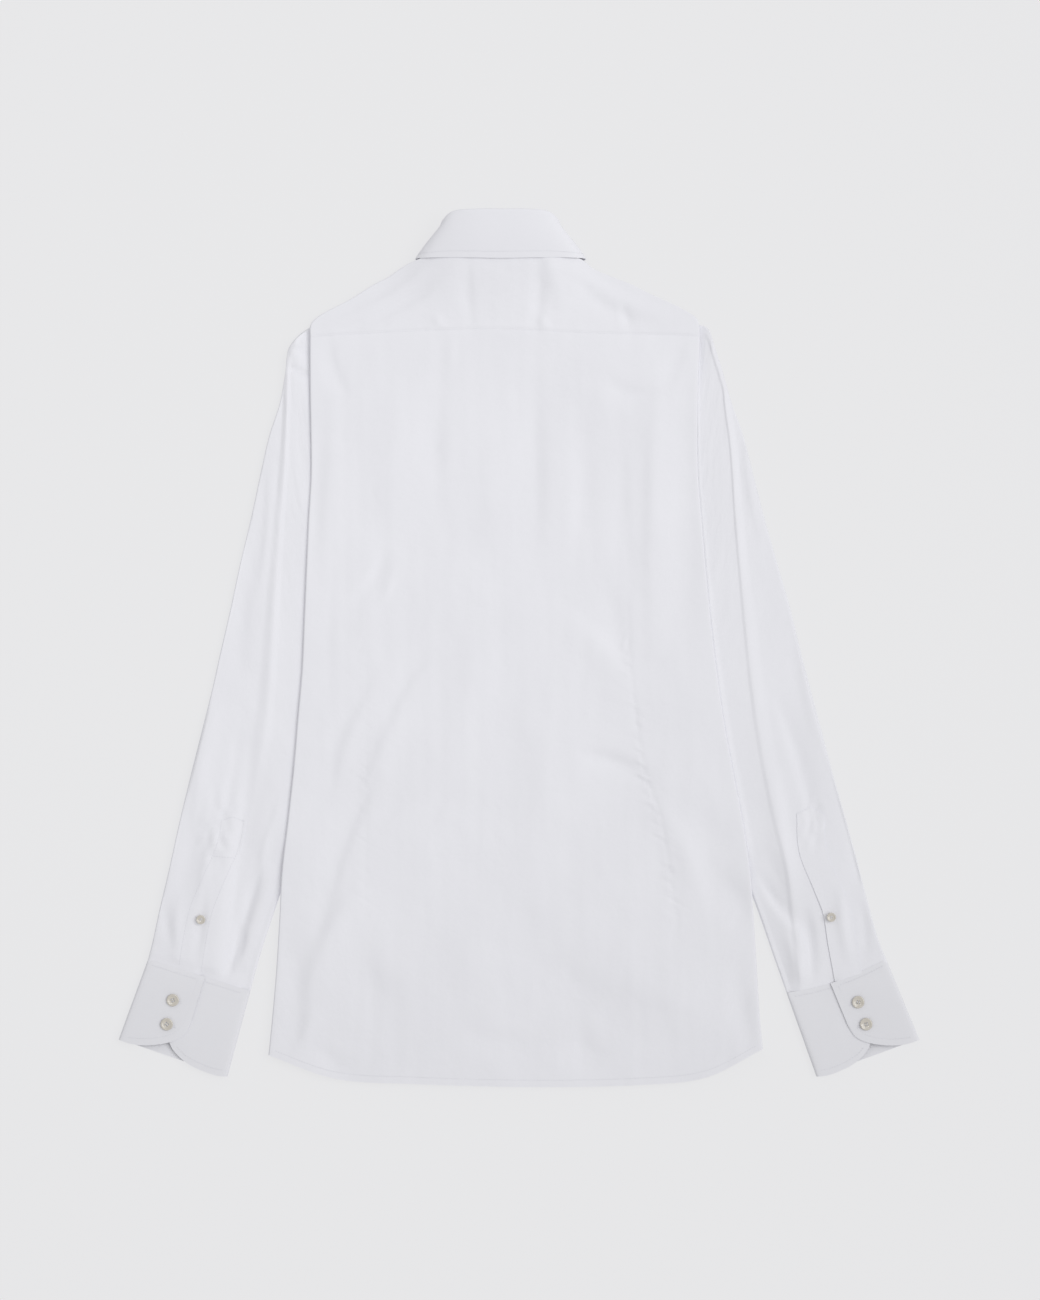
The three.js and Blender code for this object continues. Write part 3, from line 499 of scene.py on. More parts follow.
def lay_cloth(name, nodes, pattern, thickness, material, tube=False, turn_over=False):
    """Cloth from a pattern: rows of points in millimetres, the first row at the bottom."""
    rows = len(pattern) - 1
    columns = len(pattern[0]) - 1
    across = [lengths_along(row, columns // 2) for row in pattern]
    along = lengths_along([row[columns // 2] for row in pattern], 0)
    bm = bmesh.new()
    uv = bm.loops.layers.uv.new("cloth")
    bmesh.ops.create_grid(bm, x_segments=columns, y_segments=rows, size=0.5, calc_uvs=True)
    for face in bm.faces:
        for loop in face.loops:
            i = round((loop.vert.co.x + 0.5) * columns)
            j = round((loop.vert.co.y + 0.5) * rows)
            loop[uv].uv = (across[j][i], along[j])
    for vert in bm.verts:
        i = round((vert.co.x + 0.5) * columns)
        j = round((vert.co.y + 0.5) * rows)
        vert.co = pattern[j][i] * MM
    if tube:
        bmesh.ops.remove_doubles(bm, verts=bm.verts, dist=0.00001)
    if turn_over:
        bmesh.ops.reverse_faces(bm, faces=bm.faces)
    for edge in bm.edges:
        edge.smooth = not edge.is_boundary
    piece = finish_piece(name, bm, material, nodes)
    wall = piece.modifiers.new("cloth_thickness", "SOLIDIFY")
    wall.thickness = thickness * MM
    wall.offset = -1
    area = sum(face.area for face in piece.data.polygons)
    print(f"{name}: {columns} by {rows} squares, {area:.4f} square metres")
    return piece


def finish_piece(name, bm, material, nodes=()):
    """Makes a mesh object of a bmesh that is already in its place."""
    for face in bm.faces:
        face.smooth = True
    mesh = bpy.data.meshes.new(name)
    bm.to_mesh(mesh)
    bm.free()
    mesh.materials.append(material)
    piece = bpy.data.objects.new(name, mesh)
    bpy.context.scene.collection.objects.link(piece)
    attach(piece, "root")
    if nodes:
        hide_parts(*nodes)
    return piece


# %% [markdown]
# ## The lie of the body
# The body lies flat on the sleeves and on its own fronts. Its sides turn under in a
# round fold and end at the side seams on the lower side. The back rises to the collar,
# where the neckband stands, and each dart is a narrow stitched groove with puckers on
# both sides of it, because the cloth there is a little longer than its seam.

# %% Heights of the body in millimetres
COLLAR = [
    (0, 369.5, 25, 0, 404.9, 31, 0, 362, 26.6),
    (26, 369.5, 24, 24, 404.9, 30.5, 26, 362.5, 26.1),
    (46, 369.5, 20.5, 42, 403.4, 28, 50, 363, 23.9),
    (52, 369.5, 17.5, 50.5, 397, 23, 69.5, 363, 19.9),
    (55.4, 369.5, 16.2, 53, 390, 18.5, 79.5, 363, 11.5),
    (65, 359, 10.6, 53.5, 381, 13.5, 76, 358.5, 3),
    (65.5, 342, 7.2, 51, 366, 9.4, 74, 328, 0.2),
    (52, 316, 6.4, 40, 344, 6.6, 67, 298, 0.1),
    (30, 297, 6.2, 23, 327, 5, 53, 271, 0.1),
    (3, 289.5, 6.2, 3, 319, 4.4, 38, 249, 0.1),
]
neck_x = curve([(row[1], row[0]) for row in COLLAR[3:4] + COLLAR[5:]])
neck_z = curve([(row[1], row[2]) for row in COLLAR[5:]])


def puckers(y, away, depth):
    """Short slanting waves across a dart, uneven along it and fading out sideways."""
    slant = y + 0.55 * away
    beat = math.sin(slant * 1.1 + 2.2 * math.sin(y * 0.09)) + 0.7 * math.sin(slant * 0.47 + 1)
    patch = max(0, noise.noise(Vector((away / 14, y / 22, 9))) + 0.25)
    return 0.9 * depth * beat * patch * math.exp(-((away / 9) ** 2))


def body_top(x, y):
    """Height of the back and the yoke."""
    left = body_left(y)
    right = body_right(y)
    side = math.exp(-((min(x - left, right - x) / 60) ** 2))
    dx = (x - COLLAR_X) / 62
    dy = max(0, NECK_Y + 4 - y) / 44
    neck = 15.8 * math.exp(-0.45 * dx ** 4 - dy * dy)
    height = BODY_TOP + 0.7 * side + neck + relief(body_creases, x, y)
    depth = dart_depth(y)
    if depth > 0:
        for groove, pull in ((dart_left(y), 0.4), (dart_right(y), 1)):
            away = x - groove
            height += pull * puckers(y, away, depth)
            height -= 0.3 * pull * depth * math.exp(-((away / 2.6) ** 2))
    calm = ease(0, 30, min(x - left, right - x))
    drift = 0.9 * noise.noise(Vector((x / 46, y / 80, 3)))
    streak = 0.28 * noise.noise(Vector((x / 11, y / 74, 5)))
    return height + calm * (drift + streak)


def over_sleeve(x, y):
    left = x - inner_left(y)
    right = inner_right(y) - x
    return BODY_OVER_SLEEVE * (1 - ease(3, 27, min(left, right)))


def strip_under(x, y):
    if y > ARMPIT_Y:
        return BODY_OVER_SLEEVE + NECK_STRIP_RISE * ease(330, 360, y)
    return over_sleeve(x, y)


def strip_width(y, side):
    """How far a side turns under. Beside the neck it ends at the neckline."""
    edge = body_left(y) if side < 0 else body_right(y)
    to_neck = max(4.5, abs(edge - COLLAR_X) - neck_x(y) - 1.5)
    return lerp(sewn_strip(y), to_neck, ease(334, 344, y))


# %% Columns across the body
def side_columns(side):
    """Columns of the strip turned under and of the round fold, from its end outwards."""

    def fold(y):
        edge = body_left(y) if side < 0 else body_right(y)
        x = edge - side * FOLD_REACH
        low = strip_under(x, y)
        radius = (body_top(x, y) - low) / 2
        return edge, low, radius, min(radius, 4)

    def strip(part):
        def at(y):
            edge, _, _, reach = fold(y)
            x = edge - side * (reach + (strip_width(y, side) - reach) * part)
            return x, strip_under(x, y)

        return at

    def bend(degrees):
        angle = math.radians(degrees)

        def at(y):
            edge, low, radius, reach = fold(y)
            x = edge - side * (FOLD_REACH if degrees > 0 else reach) * (1 - math.cos(angle))
            return x, low + radius * (1 + math.sin(angle))

        return at

    parts = [1, 0.85, 0.7, 0.54, 0.38, 0.25, 0.12, 0.04]
    bends = [-75, -55, -35, -15, 5, 25, 45, 62, 78]
    return [strip(part) for part in parts] + [bend(degrees) for degrees in bends]


def top_columns():
    """Columns over the back, closer together along the two darts."""

    def marks(y):
        start = body_left(y) + FOLD_REACH
        stop = body_right(y) - FOLD_REACH
        first = clamp(dart_left(y), start + 16, stop - 60)
        second = clamp(dart_right(y), first + 60, stop - 16)
        return [start, first - 9, first + 9, second - 9, second + 9, stop]

    def column(span, t):
        def at(y):
            line = marks(y)
            x = lerp(line[span], line[span + 1], t)
            return x, None

        return at

    result = []
    for span, count in enumerate((24, 12, 84, 12, 22)):
        result += [column(span, k / count) for k in range(count)]
    return result + [column(4, 1)]


BODY_COLUMNS = side_columns(-1) + top_columns() + side_columns(1)[::-1]
print("columns across the body:", len(BODY_COLUMNS))


def body_pattern(shares, upper, lower):
    """Rows at the given shares of the way from a lower to an upper edge."""
    rows = []
    for share in shares:
        row = []
        for column in BODY_COLUMNS:
            y = lerp(lower(0), upper(0), share)
            for _ in range(4):
                y = lerp(lower(column(y)[0]), upper(column(y)[0]), share)
            x, z = column(y)
            row.append(Vector((x, y, body_top(x, y) if z is None else z)))
        rows.append(row)
    return rows


# %% [markdown]
# ## Back and yoke
# The back is one panel from the yoke seam to the hem. Its rows are closest together
# along the darts, where the puckers are. Its upper edge goes a few millimetres under
# the yoke, as a seam allowance does, so the seam shows as a soft step and not as a
# slit. The yoke lies over it and runs up to the neckline.

# %% Back panel
back_shares = [k / 150 for k in range(33)]
back_shares += [0.22 + 0.003 * k for k in range(120)]
back_shares += [0.58 + 0.42 * k / 70 for k in range(71)]
back_rows = body_pattern(back_shares, seam_y, hem_y)
for point in back_rows[-1]:
    point.z -= 0.3
back_rows.append([point + Vector((0, 3, -0.3)) for point in back_rows[-1]])
back = lay_cloth("shirt_back", ["back"], back_rows, CLOTH, poplin)

# %% Yoke
yoke_rows = body_pattern([k / 30 for k in range(31)], lambda x: NECK_Y, seam_y)
for k, lift in ((0, -0.12), (1, 0.28), (2, 0.08)):
    for point in yoke_rows[k]:
        point.z += lift
yoke = lay_cloth("shirt_yoke", ["yoke"], yoke_rows, CLOTH, poplin)

# %% [markdown]
# ## Fronts
# The fronts carry the weight of the shirt and lie on the table. They lap along the
# middle, where the buttons hold them. They show at the neck, at the hem and from
# below. Each one is a sheet from its side seam or armhole to the lap.

# %% Front patterns
def front_edge(y, side):
    ox, oy, ix, iy = SLEEVE_LEFT[0] if side < 0 else SLEEVE_RIGHT[0]
    if y > 290:
        return lerp(ox - side * 8, COLLAR_X + side * 69, (y - 290) / (FRONT_TOP_Y - 290))
    if y > ARMPIT_Y:
        t = (oy - y) / (oy - iy)
        return lerp(ox, ix, t) - side * lerp(8, 1.5, ease(290, 250, y))
    edge = body_left(y) if side < 0 else body_right(y)
    return edge - side * (strip_width(y, side) + 0.85)


def over_leaf(x, y):
    away = abs(x - COLLAR_X)
    return NECK_RISE * ease(228, 242, y) * (1 - ease(96, 122, away))


def front_pattern(side):
    lap_rise = NECK_RISE if side < 0 else NECK_RISE + LAP_STEP
    levels = [342, 334, 322, 315, 308, 302, 297, 291.5, 287, 280, 275]
    levels += [270 - 5.45 * k for k in range(121)]
    rows = []
    for y in levels:
        start = front_edge(y, side)
        neck_edge = COLLAR_X + side * (neck_x(y) + 1)
        stop = neck_edge if y > FRONT_NECK_Y else middle(y) - side * LAP
        row = []
        for k in range(49):
            x = lerp(start, stop, k / 48)
            lapped = lap_rise * (1 - ease(32, 56, abs(x - middle(y))))
            sleeved = over_sleeve(x, y) * ease(58, 48, y)
            beside = ease(291, 300, y) * ease(26, 4, abs(x - stop))
            near_neck = beside * (neck_z(y) - 0.65)
            drop = (hem_y(x) + 386.5) * ease(-290, -384, y)
            z = max(lapped, over_leaf(x, y), sleeved, near_neck)
            row.append(Vector((x, y + drop, z)))
        rows.append(row)
    return rows[::-1]


front_left = lay_cloth(
    "shirt_front_left", ["front_left"], front_pattern(-1), CLOTH, poplin, turn_over=True
)
front_right = lay_cloth("shirt_front_right", ["front_right"], front_pattern(1), CLOTH, poplin)

# %% [markdown]
# ## Sleeves
# A sleeve is a tube that lies flat. Across it the cloth runs from the outer edge up to
# a crest at the lengthwise fold, drops a little there and runs on as a ledge up to the
# body's edge, where it dips under. Its rings fan out from the armhole to the cuff. The
# last rings flatten and slip between the band's layers, where the real sleeve is
# pleated and sewn in. Small dents mark where each placket's slit ends.

# %% Sleeve patterns
def crossing_share(ring, line):
    """Where a line down the shirt crosses a ring, from 0 at its outer end to 1."""
    ox, oy, ix, iy = ring
    side = math.copysign(1, ix - ox)
    low = 0.0
    high = 1.0
    for _ in range(24):
        t = (low + high) / 2
        if (lerp(ox, ix, t) - line(lerp(oy, iy, t))) * side < 0:
            low = t
        else:
            high = t
    return low


def crumple(x, y):
    """Small dents where the stitches end a placket's slit."""
    left = math.exp(-(((x + 281) / 16) ** 2) - ((y + 172) / 32) ** 2)
    right = math.exp(-(((x - 273) / 11) ** 2) - ((y + 158) / 20) ** 2)
    return 3 * (left + right) * noise.noise(Vector((x / 7, y / 9, 4)))


def sleeve_section(width, crest_at, edge_at, head, squeeze, fold):
    """Points (distance from the outer end, height, is on top) round one ring."""
    outer_fall, outer_run, inner_fall, inner_run, lip = fold
    crest = lerp(SLEEVE_LOW, SLEEVE_HIGH, head)
    flat = crest - outer_fall * head
    base = 1.6 * squeeze
    outer = (lerp(flat, 7.8, squeeze) - base) / 2
    inner = (lerp(SLEEVE_LOW, 5.0, squeeze) - base) / 2
    crest_at = max(crest_at, outer + 3)
    edge_at = max(edge_at, crest_at + inner_run + 5)
    last = width - inner - 3.5
    foot = min(edge_at, last)
    covered = head * ease(0, 8, last - edge_at)
    ledge = SLEEVE_LOW + SLEEVE_LEDGE * covered

    def loose(g):
        if g < crest_at:
            return lerp(crest, flat, ease(0, outer_run, crest_at - g))
        sharp = crest - inner_fall * head * ease(0, inner_run, g - crest_at)
        t = clamp((g - crest_at) / (foot - crest_at), 0, 1)
        beside = lip * covered * ease(foot - 6, foot, g)
        return lerp(lerp(sharp, ledge, t) + beside, SLEEVE_LOW, ease(foot, foot + 2.2, g))

    def height(g):
        share = g / width
        upper, lower, end = TUCK_HEIGHTS
        tucked = lerp(lerp(upper, lower, ease(0.44, 0.53, share)), end, ease(0.85, 0.98, share))
        return lerp(loose(g), tucked, squeeze)

    points = []
    for degrees in (-70, -45, -20, 5, 30, 52, 72):
        angle = math.radians(degrees)
        reach = (SLEEVE_SIDE if degrees > 0 else outer) * (1 - math.cos(angle))
        points.append((reach, base + outer * (1 + math.sin(angle)), 0))
    marks = [lerp(SLEEVE_SIDE, crest_at, k / 24) for k in range(24)]
    marks += [lerp(crest_at, crest_at + inner_run, k / 8) for k in range(8)]
    marks += [lerp(crest_at + inner_run, foot, k / 14) for k in range(14)]
    marks += [foot + 0.5 * k for k in range(5)]
    marks += [lerp(foot + 2.5, width - inner, k / 12) for k in range(13)]
    for g in marks:
        points.append((g, height(g), 1))
    for degrees in (72, 50, 25, 0, -25, -50, -72):
        angle = math.radians(degrees)
        reach = width - inner * (1 - math.cos(angle))
        points.append((reach, base + inner * (1 + math.sin(angle)), 0))
    for k in range(23):
        points.append((lerp(width - inner, outer, k / 22), base, 0))
    return points + points[:1]


def sleeve_pattern(rings, fold_at, edge_line, fold, fade, cuff_run, bow):
    """Rings from the armhole to inside the cuff. The fold fades out from one share on."""
    ends = [curve([(j, ring[k]) for j, ring in enumerate(rings)]) for k in range(4)]
    shares = [k / 160 * 0.97 for k in range(160)] + [0.97 + 0.0025 * k for k in range(13)]
    pushes = [0] * len(shares) + [1.2, 2.6, 4.2]
    shares += [1, 1, 1]
    rows = []
    for share, push in zip(shares, pushes):
        ring = [end(share * (len(rings) - 1)) for end in ends]
        ox, oy, ix, iy = ring
        width = math.hypot(ix - ox, iy - oy)
        crest_at = crossing_share(ring, fold_at) * width
        edge_at = crossing_share(ring, edge_line) * width
        squeeze = ease(0.975, 1.0, share) * 0.8 + min(push, 2) * 0.1
        head = ease(0, 0.1, share)
        row = []
        sharp = 1 - ease(fade, fade + 0.2, share)
        crease = (fold[0] * sharp, fold[1], fold[2] * sharp, fold[3], fold[4])
        for reach, z, on_top in sleeve_section(width, crest_at, edge_at, head, squeeze, crease):
            t = reach / width
            x = lerp(ox, ix, t) + cuff_run[0] * push
            y = lerp(oy, iy, t) + cuff_run[1] * push
            y += bow * ease(0.8, 1, share) * math.sin(math.pi * t)
            if on_top:
                z += relief(sleeve_creases, x, y) * (1 - squeeze)
                z += 0.35 * (1 - squeeze) * noise.noise(Vector((x / 26, y / 52, 8)))
                z += crumple(x, y)
            row.append(Vector((x, y, z)))
        rows.append(row)
    return rows


# %% Both sleeves
left_run = Vector((-24, -79)).normalized()
right_run = Vector((29, -78)).normalized()
sleeve_left = lay_cloth(
    "shirt_sleeve_left",
    ["sleeve_left"],
    sleeve_pattern(
        SLEEVE_LEFT, fold_left, body_left, (2.1, 13, 1.2, 9, 0), 0.58, left_run, 0
    )[::-1],
    CLOTH,
    poplin,
    tube=True,
)
sleeve_right = lay_cloth(
    "shirt_sleeve_right",
    ["sleeve_right"],
    sleeve_pattern(
        SLEEVE_RIGHT, fold_right, body_right, (1.8, 15, 1.0, 5, 1.3), 1, right_run, -5
    ),
    CLOTH,
    poplin,
    tube=True,
)

# %% [markdown]
# ## Cuffs
# A cuff is a firm band round the wrist whose rounded ends lap and button. Seen from
# the end it is like a letter G: the upper end lies on the lower one. The pattern goes
# round the band, from the free edge of the upper end to that of the lower end, and
# each mark says how far across the cuff it is, how far down and how high.

# %% Cuff tables
CUFF_ENDS = [
    (0.56, 0.56, 9.1), (0.535, 0.7, 9.1), (0.47, 0.8, 9.1), (0.37, 0.885, 9.1),
    (0.25, 0.955, 9.1), (0.13, 0.995, 9.0), (0.03, 1, 8.6), (0.004, 1, 6.6),
    (0.003, 1, 3.2), (0.03, 1, 0.7), (0.08, 1, 0), (0.35, 1, 0), (0.65, 1, 0),
    (0.92, 1, 0), (0.97, 1, 0.7), (0.998, 1, 2.6), (0.997, 1.003, 5.2),
    (0.975, 1.01, 7.0), (0.9, 1.03, 7.4), (0.78, 1.03, 7.4), (0.67, 1.015, 7.4),
    (0.57, 0.975, 7.4), (0.47, 0.9, 7.4), (0.41, 0.8, 7.4), (0.39, 0.68, 7.4),
]
CUFF_LEFT = ((-345, -287.3), (-250.1, -317.3), (-372.8, -363), (-271.5, -397.5), 0)
CUFF_RIGHT = ((341.5, -287.3), (249, -319.3), (372.8, -363), (277, -397.5), -5)


# %% Cuff patterns
def cuff_point(cuff, across, reach, z):
    """A point on a cuff: across from 0 at its outer end, reach from 0 at its seam."""
    seam_out, seam_in, edge_out, edge_in, bow = cuff
    seam_x = lerp(seam_out[0], seam_in[0], across)
    seam_at = lerp(seam_out[1], seam_in[1], across) + bow * math.sin(math.pi * across)
    edge_x = lerp(edge_out[0], edge_in[0], across)
    edge_at = lerp(edge_out[1], edge_in[1], across)
    return Vector((lerp(seam_x, edge_x, reach), lerp(seam_at, edge_at, reach), z))


def cuff_pattern(cuff):
    marks = [Vector(mark) for mark in CUFF_ENDS]
    around = [spline(marks, k / 144) for k in range(145)]
    rows = []
    for j in range(21):
        v = j / 20
        row = []
        for mark in around:
            reach = 0.004 + (mark.y - 0.004) * v
            puff = 0.25 * math.sin(math.pi * v) * ease(6.5, 7.4, mark.z)
            roll = (0.3 * ease(0.9, 1, v) + 0.8 * ease(0.1, 0, v)) * ease(6.5, 7.4, mark.z)
            lift = 2.6 * ease(0.7, 1, v) * math.sin(math.pi * mark.x) * ease(1.5, 0, mark.z)
            row.append(cuff_point(cuff, mark.x, reach, max(0, mark.z + puff - roll + lift)))
        rows.append(row)
    return rows


cuff_left = lay_cloth(
    "shirt_cuff_left",
    ["cuff_left"],
    cuff_pattern(CUFF_LEFT),
    INTERLINED,
    cuff_poplin_painted_shade,
)
cuff_right = lay_cloth(
    "shirt_cuff_right",
    ["cuff_right"],
    cuff_pattern(CUFF_RIGHT),
    INTERLINED,
    cuff_poplin_painted_shade,
    turn_over=True,
)

# %% [markdown]
# ## Sleeve plackets
# The slit of each sleeve is bound with a flat strip that ends in a shallow point. It
# lies on the sleeve and slips under the cuff. Its edges are pressed thin, so they are
# let down to the sleeve, apart from the free edge near the right cuff, and its
# stitching does most of the showing. A ray straight down finds the sleeve's surface
# under each point.

# %% Surface finder
def surface_of(piece):
    """A function that gives the height of a piece's upper surface in millimetres."""
    tree = BVHTree.FromObject(piece, bpy.context.evaluated_depsgraph_get())

    def height(x, y):
        hit, _, _, _ = tree.ray_cast(Vector((x, y, 60)) * MM, Vector((0, 0, -1)))
        return hit.z / MM if hit else 0

    return height


on_sleeve_left = surface_of(sleeve_left)
on_sleeve_right = surface_of(sleeve_right)

# %% Placket patterns
PLACKET_LEFT = [
    (-253, -147), (-258, -182), (-272, -216), (-283, -244), (-289, -272), (-294, -305),
]
PLACKET_RIGHT = [
    (258.5, -147), (260.5, -187), (273, -220), (283, -246), (287.5, -274), (294, -309),
]
PLACKET_WIDTH = 25


def placket_point(line, side, s, t, lift=0):
    """A point on a placket: s from 0 at its tip to 1, t across from its free edge."""
    start = spline([Vector((x, y, 0)) for x, y in line], s)
    tip = -12 * abs(t - 0.5) * ease(0.2, 0, s)
    point = start + Vector((side * PLACKET_WIDTH * t, tip + 8 * t * s, 0))
    sleeve = on_sleeve_left if side < 0 else on_sleeve_right
    free = 0.4 * ease(0.2, 0.6, s) if side > 0 else 0
    rise = lerp(free, 0.12 + 0.7 * free, ease(0, 0.15, t)) * ease(1, 0.7, t) * ease(0, 0.12, s)
    point.z = max(sleeve(point.x, point.y), 5.6) + 0.05 + rise + lift
    return point


def placket_pattern(line, side):
    rows = []
    for j in range(61):
        rows.append([placket_point(line, side, j / 60, i / 20) for i in range(21)])
    return rows


placket_left = lay_cloth(
    "shirt_placket_left",
    ["gauntlet_left"],
    placket_pattern(PLACKET_LEFT, -1),
    0.6,
    poplin,
)
placket_right = lay_cloth(
    "shirt_placket_right",
    ["gauntlet_right"],
    placket_pattern(PLACKET_RIGHT, 1),
    0.6,
    poplin,
)

# %% [markdown]
# ## Collar
# The neckband stands up from the neckline and the fall turns down over it. Both follow
# one loop of stations round the neck: the seam, the fold at the top, and the free edge
# of the fall. At the back the fold stands highest, and at the front both points lie
# flat under the shirt. The neckband's ends lap at the front, the left one outside.

# %% Collar loops
STEPS = 144


def collar_loop(first):
    """The loop through one column triple of the stations, from left front to right."""
    right = [Vector(row[first:first + 3]) for row in COLLAR]
    left = [Vector((-point.x, point.y, point.z)) for point in right[:0:-1]]
    centre = Vector((COLLAR_X, 0, 0))
    return [spline(left + right, k / STEPS) + centre for k in range(STEPS + 1)]


seam_loop = collar_loop(0)
fold_loop = collar_loop(3)
leaf_loop = collar_loop(6)


def collar_frame(i):
    """Directions at one station: up the neckband, outwards, and across the fold."""
    up = (fold_loop[i] - seam_loop[i]).normalized()
    run = (fold_loop[min(i + 4, STEPS)] - fold_loop[max(i - 4, 0)]).normalized()
    out = run.cross(up).normalized()
    return up, out, out.cross(run)


# %% Neckband
def neckband_pattern():
    rows = []
    for j in range(11):
        row = []
        for i in range(STEPS + 1):
            up, out, rise = collar_frame(i)
            start = seam_loop[i] + up * 0.5
            stop = fold_loop[i] - rise * 1.3
            point = start.lerp(stop, j / 10) + out * 0.65
            point.z += 1.8 * ease(STEPS - 24, STEPS - 8, i)
            row.append(point)
        left = [row[0] + Vector((14 - 3.5 * k, 0, 0)) for k in range(4)]
        right = [row[-1] - Vector((3.5 * k, 0, 0)) for k in range(1, 5)]
        rows.append(left + row + right)
    return rows


neckband = lay_cloth(
    "shirt_neckband", ["collar_stand"], neckband_pattern(), INTERLINED, firm_poplin
)

# %% Fall of the collar
ROLL = [(-0.7, -0.7), (0.6, -0.55), (1.8, 0.3), (2.3, 1.5), (1.7, 2.8), (0, 3.5)]


def fall_point(i, t, lift=0):
    """A point on the fall: t from 0 at the fold to 1 at its free edge."""
    _, out, _ = collar_frame(i)
    start = fold_loop[i] + out * 3.5
    bulge = 1.4 * math.sin(math.pi * t) * max(out.z, abs(out.x))
    return start.lerp(leaf_loop[i], t) + out * (bulge + lift)


def fall_pattern():
    rows = []
    marks = [Vector((up, out, 0)) for up, out in ROLL]
    for k in range(15):
        mark = spline(marks, k / 15)
        row = []
        for i in range(STEPS + 1):
            _, out, rise = collar_frame(i)
            row.append(fold_loop[i] + rise * mark.x + out * mark.y)
        rows.append(row)
    for k in range(25):
        rows.append([fall_point(i, k / 24) for i in range(STEPS + 1)])
    for row in rows:
        for point in row:
            point.z = max(0, point.z)
    return rows


fall = lay_cloth(
    "shirt_collar_fall",
    ["collar_fall"],
    fall_pattern(),
    INTERLINED,
    firm_poplin,
    turn_over=True,
)

# %% [markdown]
# ## Buttons
# A shirt button is a small turned disc: a raised rim, a shallow dish and four holes.
# A profile is spun once round its axis, the poles are merged, and the holes are bored
# with a Boolean modifier that is then made part of the mesh. Two runs of thread hold
# each button, so it stays where it is and doesn't turn.

# %% Button maker
def button_mesh(size, thickness):
    """A button on the origin, its lower face at height 0, in metres."""
    radius = size / 2
    profile = [
        (0, 0.25), (0.55, 0.25), (0.85, 0.45), (1, 0.62), (1, 0.8), (0.95, 0.95),
        (0.86, 1), (0.76, 0.94), (0.66, 0.8), (0.4, 0.74), (0, 0.72),
    ]
    bm = bmesh.new()
    verts = [bm.verts.new((radius * r * MM, 0, thickness * z * MM)) for r, z in profile]
    edges = [bm.edges.new(pair) for pair in zip(verts, verts[1:])]
    bmesh.ops.spin(
        bm, geom=verts + edges, cent=(0, 0, 0), axis=(0, 0, 1), angle=2 * math.pi,
        steps=32, use_merge=True,
    )
    bmesh.ops.remove_doubles(bm, verts=bm.verts, dist=0.00002)
    bmesh.ops.recalc_face_normals(bm, faces=bm.faces)
    disc = bpy.data.objects.new("disc", bpy.data.meshes.new("disc"))
    bm.to_mesh(disc.data)
    bm.free()
    drill = bmesh.new()
    for k in range(4):
        angle = math.pi / 4 + k * math.pi / 2
        spot = Vector((math.cos(angle), math.sin(angle), 0)) * size * 0.13 * MM
        bmesh.ops.create_cone(
            drill, cap_ends=True, segments=10, radius1=size * 0.06 * MM,
            radius2=size * 0.06 * MM, depth=thickness * 3 * MM, matrix=Matrix.Translation(spot),
        )
    bores = bpy.data.objects.new("bores", bpy.data.meshes.new("bores"))
    drill.to_mesh(bores.data)
    drill.free()
    for helper in (disc, bores):
        bpy.context.scene.collection.objects.link(helper)
    cut = disc.modifiers.new("holes", "BOOLEAN")
    cut.operation = "DIFFERENCE"
    cut.object = bores
    view_layer = bpy.context.evaluated_depsgraph_get()
    result = bpy.data.meshes.new_from_object(disc.evaluated_get(view_layer))
    bpy.data.objects.remove(disc)
    bpy.data.objects.remove(bores)
    return result


large_button = button_mesh(BUTTON, 2.2)
small_button = button_mesh(SMALL_BUTTON, 2.2)
print("faces of a button:", len(large_button.polygons))


# %% Place the buttons and sew them on
def sew_button(name, node, x, y, z, blank, size, face=1, turn=0.3):
    """A bored blank at its place, with two runs of thread through the holes."""
    spot = Matrix.Translation(Vector((x, y, z)) * MM) @ Matrix.Rotation(turn, 4, "Z")
    if face < 0:
        spot = spot @ Matrix.Translation((0, 0, 2 * MM)) @ Matrix.Rotation(math.pi, 4, "X")
    bm = bmesh.new()
    bm.from_mesh(blank)
    bmesh.ops.transform(bm, matrix=spot, verts=bm.verts)
    button = finish_piece(name, bm, pearl, [node])
    for polygon in button.data.polygons:
        polygon.use_smooth = abs(polygon.normal.z) > 0.3
    bm = bmesh.new()
    for side in (-1, 1):
        reach = Matrix.Diagonal((size * 0.17 * MM, 0.35 * MM, 0.3 * MM, 1))
        place = spot @ Matrix.Translation((0, side * size * 0.09 * MM, 1.65 * MM)) @ reach
        bmesh.ops.create_uvsphere(bm, u_segments=8, v_segments=6, radius=1, matrix=place)
    finish_piece(name + "_thread", bm, thread)


VISIBLE_BUTTONS = [
    ("cuff_button_left_1", -321.8, -326, 9.4), ("cuff_button_left_2", -327.4, -348.3, 9.4),
    ("cuff_button_right_1", 315.3, -327.8, 9.4), ("cuff_button_right_2", 322.7, -348.3, 9.4),
    ("gauntlet_button_left", -295.7, -251, 10.3), ("gauntlet_button_right", 290.2, -248.8, 10.3),
]
for number, (node, x, y, z) in enumerate(VISIBLE_BUTTONS):
    small = node.startswith("gauntlet")
    blank = small_button if small else large_button
    size = SMALL_BUTTON if small else BUTTON
    sew_button("shell_" + node, node, x, y, z, blank, size, turn=0.4 + 0.5 * number)
for number in range(6):
    y = 212 - number * 96
    node = f"front_button_{number + 1}"
    sew_button("shell_" + node, node, middle(y), y, 0, large_button, BUTTON, -1, 0.2 * number)
sew_button("shell_collar_button", "collar_button", COLLAR_X, 303.5, 2, small_button, 10, -1)

# %% [markdown]
# ## Stitching
# Fine white lockstitch runs beside every seam and edge. Each stitch is a slim bead,
# half sunk in the cloth, and a path carries them at an even pitch. A buttonhole is two
# rows of wide, low beads set close together, one on each side of its cut.

